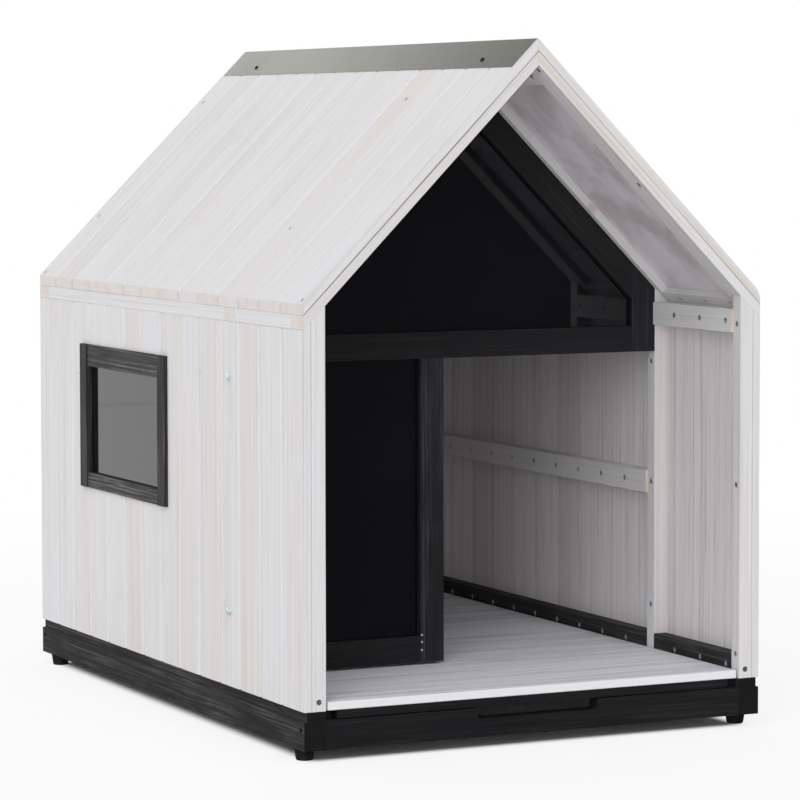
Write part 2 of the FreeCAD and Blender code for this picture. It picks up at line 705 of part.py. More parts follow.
def rail_screws():
    """One screw through every rail into each board."""
    half = RAIL_HEIGHT / 2
    backs = in_bays(board_centres(side_marks()))
    room_backs = [back for back in backs if back > FRONT_WALL_REAR]
    thick = countersunk(TOP_RAIL_THICKNESS + SCREW_BITE, SCREW_SINK)
    thin = countersunk(POST_WIDTH + SCREW_BITE, SCREW_SINK)
    top = [wall_spot(RAIL_INNER, back, TOP_RAIL_RISE + half, RIGHT) for back in backs]
    low = [wall_spot(POST_INNER, back, half, RIGHT) for back in backs]
    screws = on_both_sides(thick, top) + on_both_sides(thin, low)
    for back in room_backs:
        screws.append(placed(thick, *wall_spot(RAIL_INNER, back, MIDDLE_RAIL_RISE + half, RIGHT)))
        screws.append(placed(thick, *wall_spot(-RAIL_INNER, back, WINDOW_RISE - half, -RIGHT)))
    for centre in board_centres(centred_marks(2 * WALL_INNER)):
        x = max(-POST_INNER + half, min(POST_INNER - half, centre - WALL_INNER))
        for rise in (0, MIDDLE_RAIL_RISE, TOP_RAIL_RISE):
            screws.append(placed(thin, *wall_spot(x, REAR_POST_BACK, rise + half, BACKWARDS)))
    return screws


def post_screws():
    """Screws through the posts into the wall boards, and through the front posts into the bottom rails."""
    half = POST_WIDTH / 2
    rises = {half: FRONT_POST_SCREW_RISES, PORCH_DEPTH + half: MIDDLE_POST_SCREW_RISES,
             REAR_POST_BACK + half: REAR_POST_SCREW_RISES}
    kind = countersunk(POST_WIDTH + SCREW_BITE, SCREW_SINK)
    spots = [wall_spot(POST_INNER, back, rise, RIGHT) for back in rises for rise in rises[back]]
    spots.append(wall_spot(POST_INNER + half, 0, POST_FOOT_SCREW_RISE, BACKWARDS))
    upper = wall_spot(POST_INNER, PORCH_DEPTH + half, MIDDLE_POST_TOP_SCREW_RISE, RIGHT)
    return on_both_sides(kind, spots) + [placed(kind, *upper)]


def pitched(start, end, pitch):
    """Places from just behind a bay's start to just short of its end."""
    count = int((end - start - 2 * EAVE_SCREW_START) / pitch) + 1
    return [start + EAVE_SCREW_START + number * pitch for number in range(count)]


def eave_corners(nose_radius):
    """Where the screws enter the right slope's end boards above the nose."""
    run = EAVE_TOP_RUN - nose_tangent(nose_radius) - EAVE_CORNER_SCREW_INSET
    backs = (EAVE_CORNER_SCREW_BACK, DEPTH - EAVE_CORNER_SCREW_BACK)
    return [(roof_point(run, ROOF_TOP, back), -OFF_ROOF) for back in backs]


def roof_screws():
    """Screws between the roof's boards and its frame, from above and from below."""
    length = FRAME_THICKNESS + BOARD_THICKNESS / 2
    from_below = countersunk(length, SCREW_SINK)
    from_above = countersunk(BOARD_THICKNESS + SCREW_BITE, SCREW_SINK)
    eave_run = EAVE_BATTEN_RUN + EAVE_SCREW_INSET
    below = [roof_point(eave_run, 0, back) for bay in ROOF_BAYS for back in pitched(*bay, EAVE_SCREW_PITCH)]
    below += [roof_point(RIDGE_SCREW_RUN, 0, back)
              for bay in ROOF_BAYS for back in pitched(*bay, 2 * EAVE_SCREW_PITCH)]
    below += [roof_point(run, 0, RAFTER_SCREW_BACK) for run in RAFTER_SCREW_RUNS]
    half = RAFTER_WIDTH / 2
    above = [roof_point(run, ROOF_TOP, back) for run in ROOF_SCREW_RUNS
             for back in (MIDDLE_RAFTER_BACK + half, REAR_RAFTER_BACK + half)]
    corners = eave_corners(RIGHT_NOSE_RADIUS)
    corners += [tuple(map(across_house, spot)) for spot in eave_corners(LEFT_NOSE_RADIUS)]
    screws = on_both_sides(from_below, [(point, OFF_ROOF) for point in below])
    screws += on_both_sides(from_above, [(point, -OFF_ROOF) for point in above])
    return screws + [placed(from_above, point, direction) for point, direction in corners]


def cap_screws():
    """Round-headed screws through the ridge cap."""
    kind = round_headed(CAP_SCREW_HEAD_RADIUS, CAP_SCREW_HEAD_HEIGHT, SCREW_SHANK_RADIUS, CAP_SCREW_LENGTH)
    backs = (CAP_END_INSET + CAP_SCREW_END_INSET, DEPTH - CAP_END_INSET - CAP_SCREW_END_INSET)
    points = [roof_point(CAP_SCREW_RUN, ROOF_TOP + CAP_THICKNESS, back) for back in backs]
    return on_both_sides(kind, [(point, -OFF_ROOF) for point in points])


def bolt_spots():
    """Where the long screws enter the side walls from outside, beside the front wall."""
    back = PORCH_DEPTH + POST_WIDTH / 2
    spots = [wall_spot(-HALF_WIDTH, back, rise, RIGHT) for rise in LEFT_BOLT_RISES]
    return spots + [wall_spot(HALF_WIDTH, back, rise, -RIGHT) for rise in RIGHT_BOLT_RISES]


def wall_bolts():
    """Long round-headed screws through washer, wall and middle post into the front wall's stiles."""
    length = WASHER_THICKNESS + BOARD_THICKNESS + POST_WIDTH + BOLT_BITE
    kind = round_headed(BOLT_HEAD_RADIUS, BOLT_HEAD_HEIGHT, BOLT_SHANK_RADIUS, length)
    return [placed(kind, point - direction * WASHER_THICKNESS, direction)
            for point, direction in bolt_spots()]


def washers():
    """Washers under the heads of the long screws."""
    rings = []
    for point, direction in bolt_spots():
        outside = point - direction * WASHER_THICKNESS
        disc = Part.makeCylinder(WASHER_RADIUS, WASHER_THICKNESS, outside, direction)
        bore = Part.makeCylinder(BOLT_SHANK_RADIUS + WASHER_HOLE_GAP, WASHER_THICKNESS, outside, direction)
        rings.append(disc.cut(bore))
    return rings


def base_screws():
    """Screws through the side beams into the front and back beams, and up through the feet."""
    half = CROSS_BEAM_THICKNESS / 2
    kind = countersunk(BEAM_WIDTH + BASE_SCREW_BITE, SCREW_SINK)
    backs = (half, DEPTH - half)
    spots = [wall_spot(HALF_WIDTH, back, -BASE_SCREW_BELOW_TOP, -RIGHT) for back in backs]
    foot_kind = countersunk(FOOT_HEIGHT - FOOT_SCREW_SINK + FOOT_SCREW_BITE, FOOT_SCREW_SINK)
    return on_both_sides(kind, spots) + [placed(foot_kind, spot, UP) for spot in foot_spots()]


def floor_screws():
    """Screws up through the runners and cleats into the floor's boards."""
    kind = countersunk(CLEAT_THICKNESS + SCREW_BITE, SCREW_SINK)
    backs = [FLOOR_SETBACK + centre for centre in board_centres(floor_marks())]
    return [placed(kind, FreeCAD.Vector(x, y_at(back), CLEAT_HEIGHTS[0]), UP)
            for x in runner_centres() for back in backs]


# The whole house

def sided(name, solids):
    """A sub-part of the right side and its mirror image on the left."""
    return {name + "_left": mirrored(solids), name + "_right": solids}


def walls_and_roof():
    """Boards, posts, rails and roof frame, before drilling."""
    parts = {
        "wall_boards_left": windowed_wall(),
        "wall_boards_right": side_wall(),
        "wall_boards_back": back_wall(),
        "middle_rail_left": mirrored(side_rails(RAIL_INNER, WINDOW_RISE - RAIL_HEIGHT, BAYS[1:])),
        "middle_rail_right": side_rails(RAIL_INNER, MIDDLE_RAIL_RISE, BAYS[1:]),
        "back_rails": [back_rail(MIDDLE_RAIL_RISE), back_rail(TOP_RAIL_RISE)],
        "back_bottom_rail": [back_rail(0)],
        "ridge_cap": [ridge_cap()],
    }
    bottom_rails = side_rails(POST_INNER, 0, BAYS)
    parts["bottom_rails"] = mirrored(bottom_rails) + bottom_rails
    ridge_battens = [ridge_batten(bay) for bay in ROOF_BAYS]
    parts["ridge_battens"] = mirrored(ridge_battens) + ridge_battens
    for name, back in (("front", 0), ("middle", PORCH_DEPTH), ("rear", REAR_POST_BACK)):
        parts.update(sided(name + "_post", [post(back)]))
    for name, back in (("front", 0), ("middle", MIDDLE_RAFTER_BACK), ("rear", REAR_RAFTER_BACK)):
        parts.update(sided(name + "_rafter", [rafter(back)]))
    parts.update(sided("top_rails", side_rails(RAIL_INNER, TOP_RAIL_RISE, BAYS)))
    parts["roof_boards_left"] = mirrored(roof_boards(LEFT_NOSE_RADIUS))
    parts["roof_boards_right"] = roof_boards(RIGHT_NOSE_RADIUS)
    parts.update(sided("eave_battens", [eave_batten(bay) for bay in ROOF_BAYS]))
    parts.update(sided("ceiling_panels", [ceiling_panel(bay) for bay in ROOF_BAYS]))
    return parts


def base():
    """Beams, ledgers and feet, before drilling."""
    parts = sided("side_beam", [side_beam()])
    parts["front_beam"] = [front_beam()]
    parts["middle_beam"] = [middle_beam()]
    parts["back_beam"] = [back_beam()]
    parts["floor_ledgers"] = mirrored([ledger()]) + [ledger()]
    parts["feet"] = [foot(spot) for spot in foot_spots()]
    return parts


def front_wall_and_window():
    """Black frames and dark panes, before drilling."""
    parts = front_wall_members()
    parts["front_wall_gable_pane"] = [front_pane(gable_light)]
    parts["front_wall_lower_pane"] = [front_pane(lower_light)]
    parts["window_stiles"] = window_stiles()
    parts["window_rails"] = window_rails()
    parts["window_pane"] = [window_pane()]
    return parts


def floor_panel():
    """The floor that slides out, before drilling."""
    return {"floor_boards": floor_boards(), "floor_cleats": floor_cleats(), "floor_runners": floor_runners()}


def drilled(solids, holes):
    """The solids with a hole for every screw that meets them."""
    result = []
    for solid in solids:
        near = [hole for hole in holes if hole.BoundBox.intersect(solid.BoundBox)]
        result += solid.cut(near).Solids if near else [solid]
    return result


def save(name, solids):
    """Write one sub-part's solids."""
    Part.makeCompound(solids).exportStep(os.path.join("parts", name + ".step"))


def main():
    os.makedirs("parts", exist_ok=True)
    screws = {
        "rail_screws": rail_screws(),
        "post_screws": post_screws(),
        "roof_screws": roof_screws(),
        "cap_screws": cap_screws(),
        "wall_bolts": wall_bolts(),
        "base_screws": base_screws(),
        "floor_screws": floor_screws(),
    }
    holes = [hole for group in screws.values() for _, hole in group]
    parts = {**walls_and_roof(), **base(), **front_wall_and_window(), **floor_panel()}
    for name, solids in parts.items():
        save(name, drilled(solids, holes))
    for name, group in screws.items():
        save(name, [screw for screw, _ in group])
    save("washers", washers())


main()
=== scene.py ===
import math

import bpy
import numpy as np
from bpy.props import FloatProperty, FloatVectorProperty, PointerProperty
from mathutils import Matrix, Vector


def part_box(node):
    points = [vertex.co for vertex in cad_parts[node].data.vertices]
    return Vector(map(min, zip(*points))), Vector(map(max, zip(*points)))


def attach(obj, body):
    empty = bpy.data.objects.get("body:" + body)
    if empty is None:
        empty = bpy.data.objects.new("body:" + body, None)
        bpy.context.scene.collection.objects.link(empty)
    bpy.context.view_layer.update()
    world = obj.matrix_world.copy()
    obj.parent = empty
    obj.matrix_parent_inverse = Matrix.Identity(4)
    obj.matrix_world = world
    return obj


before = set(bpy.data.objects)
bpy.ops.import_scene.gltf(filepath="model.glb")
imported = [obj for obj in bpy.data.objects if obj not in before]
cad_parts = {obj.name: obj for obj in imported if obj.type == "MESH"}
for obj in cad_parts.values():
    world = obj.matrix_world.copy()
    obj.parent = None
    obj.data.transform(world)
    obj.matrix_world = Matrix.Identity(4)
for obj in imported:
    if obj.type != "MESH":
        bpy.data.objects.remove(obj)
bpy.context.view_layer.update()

bl_info = {
    "name": "Dog house finishes",
    "version": (1, 0, 0),
    "blender": (4, 5, 0),
    "location": "3D View > Sidebar > Dog house",
    "description": "Whitewashed boards, black-stained timber, dark panes, metal and plastic of a dog house",
    "category": "Material",
}

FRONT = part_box("wall_boards_right")[0][1]
ROOF_SLOPE = math.radians(45.0)

# Spots of filler, in metres
FILLER_LIFT = 0.00005                                   # gap to the timber, so that no faces coincide
FILLER_FROM_DOOR = 0.0032                               # from the door post's left edge
FILLER_DROPS = (-0.0016, 0.0088, 0.0207)                # below the top of the bottom rail
NAIL_PLACES = ((0.3523, 0.4861), (-0.1555, 0.518))      # along and up the left wall
SPOT_RINGS = 6
SPOT_SPOKES = 24
SPOT_MIDDLE = 0.08                                      # share of the radius that the flat middle takes

# Marks in the timber, in metres. A pair says where the mark starts to fade and where it has gone.
RAFTER_KNOT = (0.2158, -0.2870, 0.7551)                 # middle of the knot in the right middle rafter
KNOT_FADE = (0.004, 0.011)
# the groove's pair is for a painted shade on the eased edges beside each joint
GROOVE_SHADE_FADE = (0.0010, 0.0058)
SEAM_FADE = (0.0003, 0.0013)
EDGE_LINE_FADE = (0.0004, 0.0014)
CRACK_FADE = (0.0007, 0.0018)
CRACK_HALF_LENGTH = (0.020, 0.026)
CRACK_PLACE = (0.066, -0.423, 0.26)                     # up and along the left side beam, and its lean

# Chance that sets boards apart: a seed for each field of boards, and how far chance shifts the grain
BOARD_SEEDS = {"wall_boards_left": 11.0, "wall_boards_right": 47.0, "wall_boards_back": 83.0,
               "roof_boards_left": 130.0, "roof_boards_right": 190.0, "floor_boards": 240.0}
SHIFT_ALONG = 7.3
SHIFT_THROUGH = 3.1
CELLS_PER_METRE = 9.0                                   # cells that tell single timbers apart
CELLS_ALONG = 0.5
CELL_STEPS = (17.0, 5.0)

# Growth rings on ends: the heart lies off a corner of the left side beam
HEART_HEIGHT = 0.11
HEART_OFFSET = 0.41
RING_SQUEEZE = 1.3
RING_RATE = 1500.0

# Refraction that sets how much the panes mirror
FRONT_PANE_IOR = 1.45
WINDOW_PANE_IOR = 1.72

# Directions that the grain runs in and that boards lie side by side in
ACROSS_HOUSE = (1.0, 0.0, 0.0)
DEEP = (0.0, 1.0, 0.0)
UPRIGHT = (0.0, 0.0, 1.0)
FORWARDS = (0.0, -1.0, 0.0)
LEFTWARDS = (-1.0, 0.0, 0.0)
ORIGIN = (0.0, 0.0, 0.0)
DOWN_RIGHT_SLOPE = (math.cos(ROOF_SLOPE), 0.0, -math.sin(ROOF_SLOPE))
DOWN_LEFT_SLOPE = (-math.cos(ROOF_SLOPE), 0.0, -math.sin(ROOF_SLOPE))


def paint(red, green, blue):
    """Linear colour of a paint whose screen values run from 0 to 255."""
    def linear(value):
        share = value / 255
        return share / 12.92 if share <= 0.04045 else ((share + 0.055) / 1.055) ** 2.4
    return linear(red), linear(green), linear(blue)


# Fixed tints that the finishes mix in, besides the colours that a user would change
BOARD_TINT = paint(217, 212, 205)
THICK_WASH = paint(233, 233, 235)
PATCH_TINT = paint(214, 210, 203)
GRAIN_LINE = paint(183, 173, 165)
GRAIN_THREAD = paint(176, 152, 130)
KNOT = paint(196, 168, 140)
RAW_WASH = paint(242, 237, 239)
RAW_BOARD = paint(204, 193, 191)
RAW_GRAIN = paint(158, 146, 143)
FLOOR_WASH = paint(246, 246, 249)
FLOOR_SIDES = paint(238, 238, 241)
FLOOR_STREAK = paint(200, 200, 216)
FLOOR_RUBBED = paint(150, 140, 136)
# painted shade on the eased edges beside the joints of the boards
GROOVE_PAINTED_SHADE = paint(196, 192, 188)
SEAM = paint(146, 140, 136)
LEFT_EDGE_LINE = paint(92, 82, 76)
RIGHT_EDGE_LINE = paint(196, 174, 148)
STAINED_END = paint(16, 16, 19)
CRACK = paint(8, 8, 8)
BLUISH_STAIN = paint(114, 112, 124)
PANE_BLOOM = paint(26, 25, 31)
LINING_CLOUD = paint(208, 202, 204)
# painted shade of the lining high up near the ridge
LINING_PAINTED_RIDGE_SHADE = paint(196, 190, 188)
LINING_SPECK = paint(176, 173, 176)
# painted reflection of the ridge cap, darker towards the front
CAP_PAINTED_REFLECTION_FRONT = paint(86, 86, 81)
CAP_MOTTLE = paint(120, 119, 114)
# painted highlight on the ridge cap's rounded edges
CAP_PAINTED_EDGE_HIGHLIGHT = paint(196, 195, 190)
DULL_ZINC = paint(158, 166, 176)
# painted highlight of the washers and bolts: pale zinc painted near white
ZINC_PAINTED_HIGHLIGHT = paint(228, 238, 240)
DULL_ZINC_PAINTED_HIGHLIGHT = paint(186, 202, 210)
DARK_PLATE = paint(46, 46, 48)
DULL_DARK_PLATE = paint(30, 30, 31)
FOOT_CLOUD = paint(46, 46, 47)
FILLER_GRIT = paint(150, 146, 142)
PAPER = paint(246, 246, 247)
PAPER_FLECK = paint(243, 243, 244)
BLACK = (0.0, 0.0, 0.0)
WHITE = (1.0, 1.0, 1.0)


# ---------------------------------------------------------------- sizes and colours a user would change

def length_field(name, description, metres):
    """Property for a length."""
    return FloatProperty(name=name, description=description, default=metres, unit="LENGTH")


def colour_field(name, description, red, green, blue):
    """Property for a colour, given by its screen values."""
    return FloatVectorProperty(
        name=name, description=description, subtype="COLOR", default=paint(red, green, blue))


class DogHouseSizes(bpy.types.PropertyGroup):
    """Lengths that the finishes work with."""
    board_cover: length_field("Board cover", "Visible width of one board", 0.075)
    arris: length_field("Arris", "Radius of the softened edges of the timber", 0.0011)
    filler_radius: length_field("Filler spot", "Radius of a spot of wood filler", 0.0017)
    filler_rise: length_field("Filler rise", "How far a spot of filler stands proud", 0.0003)
    nail_radius: length_field("Nail spot", "Radius of a filled nail hole", 0.0016)
    floor_reach: length_field("Studio floor", "Half the side of the studio floor", 60.0)


class DogHouseColours(bpy.types.PropertyGroup):
    """Colours of the finishes."""
    wash: colour_field("Whitewash", "Thick whitewash", 223, 223, 226)
    bare: colour_field("Bare wood", "Wood that shows through thin wash", 212, 197, 180)
    shade: colour_field("Cool streak", "Greyish streak in the wash", 203, 203, 208)
    end_wood: colour_field("End grain", "Washed end grain", 212, 184, 150)
    stain: colour_field("Black stain", "Dense black stain", 21, 21, 25)
    stain_worn: colour_field("Thin stain", "Grain that shows through the stain", 120, 118, 114)
    pane: colour_field("Pane", "Dark tint of the panes", 12, 12, 16)
    lining: colour_field("Ceiling lining", "Smooth lining of the ceiling", 244, 242, 247)
    cap: colour_field("Ridge cap", "Grey coated sheet of the ridge cap", 166, 165, 160)
    zinc: colour_field("Zinc", "Zinc plating of the screws", 205, 216, 228)
    foot: colour_field("Feet", "Moulded feet", 17, 17, 18)
    filler: colour_field("Filler", "Wood filler", 205, 200, 196)
    nail: colour_field("Nail filler", "Filler in the nail holes", 164, 152, 140)


def sizes():
    """The scene's lengths."""
    return bpy.context.scene.dog_house_sizes


def colours():
    """The scene's colours."""
    return bpy.context.scene.dog_house_colours


# ---------------------------------------------------------------- shader maths

class Wire:
    """A value in a material. Sums and products of wires add the Math nodes that work them out."""

    def __init__(self, sheet, socket):
        self.sheet = sheet
        self.socket = socket

    def _math(self, operation, *values, clamp=False):
        settings = {"operation": operation, "use_clamp": clamp}
        return self.sheet.node("ShaderNodeMath", settings, dict(enumerate(values)))

    def __add__(self, other):
        return self._math("ADD", self, other)

    __radd__ = __add__

    def __sub__(self, other):
        return self._math("SUBTRACT", self, other)

    def __rsub__(self, other):
        return self._math("SUBTRACT", other, self)

    def __mul__(self, other):
        return self._math("MULTIPLY", self, other)

    def __truediv__(self, other):
        return self._math("DIVIDE", self, other)

    def __abs__(self):
        return self._math("ABSOLUTE", self)

    def floor(self):
        return self._math("FLOOR", self)

    def sine(self):
        return self._math("SINE", self)

    def largest(self, other):
        return self._math("MAXIMUM", self, other)

    def clamped(self):
        return self._math("ADD", self, 0.0, clamp=True)

    def between(self, low, high):
        """0 below low, 1 above high, and a smooth rise from one to the other."""
        settings = {"interpolation_type": "SMOOTHSTEP", "clamp": True}
        sockets = {"Value": self, "From Min": low, "From Max": high}
        return self.sheet.node("ShaderNodeMapRange", settings, sockets)


class Sheet:
    """A node tree under construction."""

    def __init__(self, tree):
        self.tree = tree

    def node(self, kind, settings=None, sockets=None, out=0):
        """Add a node, with its settings and the values or wires of its sockets. Gives the wire that
        leaves it."""
        made = self.tree.nodes.new(kind)
        for name, value in (settings or {}).items():
            setattr(made, name, value)
        for name, value in (sockets or {}).items():
            self.join(made.inputs[name], value)
        return Wire(self, made.outputs[out])

    def join(self, socket, value):
        """Link a wire to a socket, or set the socket's own value."""
        if isinstance(value, Wire):
            self.tree.links.new(value.socket, socket)
        elif socket.type == "RGBA":
            socket.default_value = (*value[:3], 1.0)
        else:
            socket.default_value = value

    def dot(self, vector, direction):
        settings = {"operation": "DOT_PRODUCT"}
        return self.node("ShaderNodeVectorMath", settings, {0: vector, 1: direction}, out="Value")

    def distance(self, first, second):
        settings = {"operation": "DISTANCE"}
        return self.node("ShaderNodeVectorMath", settings, {0: first, 1: second}, out="Value")

    def ray(self, kind):
        """1 for rays of one kind, such as Camera or Glossy, and 0 for the others."""
        return self.node("ShaderNodeLightPath", out=f"Is {kind} Ray")


class Finish(Sheet):
    """One material under construction, with its Principled shader."""

    def __init__(self, name, **constants):
        self.material = bpy.data.materials.new(name)
        self.material.use_nodes = True
        super().__init__(self.material.node_tree)
        self.shader = self.tree.nodes["Principled BSDF"]
        for socket, value in constants.items():
            self.shader.inputs[socket.replace("_", " ")].default_value = value

    def place(self):
        """Where on the object a point is, in metres."""
        return self.node("ShaderNodeTexCoord", out="Object")

    def facing(self):
        """Direction of the true surface."""
        return self.node("ShaderNodeNewGeometry", out="Normal")

    def soft_facing(self, radius):
        """Direction of the surface with its edges rounded."""
        return self.node("ShaderNodeBevel", {"samples": 4}, {"Radius": radius})

    def vector(self, x, y, z):
        return self.node("ShaderNodeCombineXYZ", None, {"X": x, "Y": y, "Z": z})

    def noise(self, vector, scale=1.0, detail=2.0, roughness=0.5, distortion=0.0):
        sockets = {"Vector": vector, "Scale": scale, "Detail": detail, "Roughness": roughness,
                   "Distortion": distortion}
        return self.node("ShaderNodeTexNoise", None, sockets)

    def chance(self, value):
        """A steady random number from 0 to 1 for each value."""
        return self.node("ShaderNodeTexWhiteNoise", {"noise_dimensions": "1D"}, {"W": value})

    def mix(self, factor, first, second):
        """Colour between two colours."""
        settings = {"data_type": "RGBA", "clamp_factor": True}
        return self.node("ShaderNodeMix", settings, {0: factor, 6: first, 7: second}, out=2)

    def bump(self, height, strength, distance, base=None):
        sockets = {"Height": height, "Strength": strength, "Distance": distance}
        if base is not None:
            sockets["Normal"] = base
        return self.node("ShaderNodeBump", None, sockets)

    def surface(self, **links):
        """Feed the shader's sockets."""
        for socket, value in links.items():
            self.join(self.shader.inputs[socket.replace("_", " ")], value)
        return self.material


# ---------------------------------------------------------------- timber

def timber_space(finish, along, across):
    """Metres across a timber, through it and along it."""
    place = finish.place()
    through = tuple(np.cross(along, across))
    return finish.dot(place, across), finish.dot(place, through), finish.dot(place, along)


def board_space(finish, along, across, cover):
    """Coordinates that follow a board: metres across it, through it and along it, shifted by chance from
    board to board, with a random number for each board and the distance to the nearest joint. Without a
    cover the number changes from cell to cell, and there is no shift and no joint."""
    side, depth, length = timber_space(finish, along, across)
    if cover:
        start, width, seed = cover
        share = (side - start) / width
        number = share.floor()
        luck = finish.chance(number + seed)
        joint = (0.5 - abs(share - number - 0.5)) * width
        length = length + luck * SHIFT_ALONG
        depth = depth + luck * SHIFT_THROUGH
    else:
        cells = (side * CELLS_PER_METRE).floor() + (depth * CELLS_PER_METRE).floor() * CELL_STEPS[0]
        luck = finish.chance(cells + (length * CELLS_ALONG).floor() * CELL_STEPS[1])
        joint = None
    return side, depth, length, luck, joint


def end_mask(finish, along):
    """1 on faces that cut across the grain."""
    return abs(finish.dot(finish.facing(), along)).between(0.6, 0.9)


def arris_mask(finish, soft):
    """1 on the softened edges, 0 on the faces."""
    return (1.0 - finish.dot(soft, finish.facing())).between(0.004, 0.12)


def washed_timber(name, along, across, cover=None, warmth=1.0, raw_face=None, rubbed=None, edge_line=None,
                  knot_place=None, open_joints=0.06):
    """Whitewashed softwood: soft bands of thick and thin wash, beige and cool streaks along the grain, fine
    grain lines and ridges of thick wash, a few knots, thin dark stretches of joint, painted shade on the
    eased edges beside each joint, and beige end grain that differs from board to board. cover is where the
    first joint lies, the width of a board and a seed. Faces that look the way of raw_face have lighter wash
    and darker grain. rubbed has the tints of a floor's streaks and rubbed places. edge_line is a broken line
    on the faces that look forwards and back, by its place through the timber and its colour, knot_place is
    the middle of one knot, and open_joints says how dark the joints are everywhere, from 0 to 1."""
    tone = colours()
    finish = Finish(name, IOR=1.45)
    side, depth, length, luck, joint = board_space(finish, along, across, cover)

    def grain(across_scale, along_scale, detail, roughness=0.55):
        lanes = finish.vector(side * across_scale, depth * across_scale, length * along_scale)
        return finish.noise(lanes, detail=detail, roughness=roughness)

    broad = grain(26.0, 0.9, 2.0)
    streak = grain(120.0, 1.3, 4.0, 0.6)
    fine = grain(290.0, 2.6, 4.0, 0.62)
    hairs = grain(780.0, 7.0, 2.0, 0.6)
    ridges = grain(170.0, 2.4, 4.0, 0.66)
    patch = grain(7.0, 3.5, 2.0)
    thin = broad.between(0.48, 0.72) * 0.38 + streak.between(0.50, 0.66) * 0.62
    thin = (thin * (0.35 + luck * 0.65) * warmth).clamped()
    cool = (1.0 - broad).between(0.5, 0.72) * 0.55 + (1.0 - streak).between(0.52, 0.75) * 0.4
    cool = cool * patch.between(0.3, 0.62)
    colour = finish.mix(luck.between(0.3, 1.0) * 0.30 * warmth, tone.wash, BOARD_TINT)
    colour = finish.mix(thin * 0.72, colour, tone.bare)
    colour = finish.mix(cool * 0.60, colour, tone.shade)
    thick = ridges.between(0.54, 0.68) * patch.between(0.30, 0.60)
    colour = finish.mix(thick * 0.60, colour, THICK_WASH)
    colour = finish.mix(patch.between(0.46, 0.72) * 0.28, colour, PATCH_TINT)
    lines = fine.between(0.52, 0.66) * 0.24 + hairs.between(0.54, 0.72) * 0.16
    threads = (grain(420.0, 5.0, 2.0).between(0.70, 0.78) * broad.between(0.45, 0.6)) * 0.5
    colour = finish.mix(lines, colour, GRAIN_LINE)
    colour = finish.mix(threads * warmth, colour, GRAIN_THREAD)
    knot = grain(15.0, 6.5, 1.0).between(0.76, 0.84)
    if knot_place:
        away = finish.distance(finish.place(), knot_place)
        knot = knot + 1.0 - away.between(*KNOT_FADE)
    colour = finish.mix(knot.clamped() * 0.55, colour, KNOT)
    ends = end_mask(finish, along)
    if raw_face:
        raw = finish.dot(finish.facing(), raw_face).between(0.3, 0.8)
        dark = fine.between(0.50, 0.66) * 0.30 + streak.between(0.52, 0.66) * 0.18
        dark = dark + hairs.between(0.5, 0.7) * 0.14
        colour = finish.mix(raw * 0.75, colour, RAW_WASH)
        colour = finish.mix(raw * luck.between(0.35, 0.9) * 0.40, colour, RAW_BOARD)
        colour = finish.mix(raw * dark, colour, RAW_GRAIN)
    if rubbed:
        streak_tint, rub_tint = rubbed
        trodden = finish.dot(finish.facing(), UPRIGHT).between(0.6, 0.9)
        colour = finish.mix(trodden * 0.75, colour, FLOOR_WASH)
        colour = finish.mix(trodden * streak.between(0.46, 0.62) * 0.75, colour, streak_tint)
        rub = grain(20.0, 4.0, 3.0).between(0.56, 0.70) * streak.between(0.40, 0.58)
        colour = finish.mix(trodden * rub * 0.65, colour, rub_tint)
        colour = finish.mix((1.0 - trodden) * 0.8, colour, FLOOR_SIDES)
    rings = (finish.noise(finish.vector(side * 130.0, depth * 420.0, luck * 50.0), detail=2.0) * 22.0).sine()
    blots = finish.noise(finish.place(), scale=48.0, detail=3.0).between(0.44, 0.60)
    end_colour = finish.mix(rings.between(-0.2, 1.0) * 0.25, tone.end_wood, tone.wash)
    end_colour = finish.mix((luck.between(0.5, 0.95) * 0.8 + blots * 0.35).clamped(), end_colour, tone.wash)
    colour = finish.mix(ends * (0.0 if rubbed else 0.9), colour, end_colour)
    soft = finish.soft_facing(sizes().arris)
    worn = arris_mask(finish, soft) * fine.between(0.3, 0.6)
    colour = finish.mix(worn * 0.55 * warmth, colour, tone.bare)
    height = fine * 0.5 + hairs * 0.25 + streak * 0.4
    if joint:
        faces = (1.0 - ends) * (1.0 - abs(finish.dot(finish.facing(), across)).between(0.75, 0.95))
        # painted shade: the eased edges within a few millimetres of each joint are darkened, as if the groove
        # shaded them
        painted_groove_shade = (1.0 - joint.between(*GROOVE_SHADE_FADE)) * faces
        colour = finish.mix(painted_groove_shade * 0.20, colour, GROOVE_PAINTED_SHADE)
        seam = (1.0 - joint.between(*SEAM_FADE)) * faces
        colour = finish.mix(seam * (open_joints + patch.between(0.42, 0.66) * 0.62), colour, SEAM)
    if edge_line:
        line_at, line_colour = edge_line
        line = (1.0 - abs(depth - line_at).between(*EDGE_LINE_FADE)) * abs(finish.dot(finish.facing(), DEEP))
        colour = finish.mix(line * (0.10 + patch.between(0.40, 0.62) * 0.8), colour, line_colour)
    return finish.surface(
        Base_Color=colour,
        Roughness=0.62 + fine * 0.16 - cool * 0.05,
        Normal=finish.bump(height, 0.20, 0.0009, soft),
    )


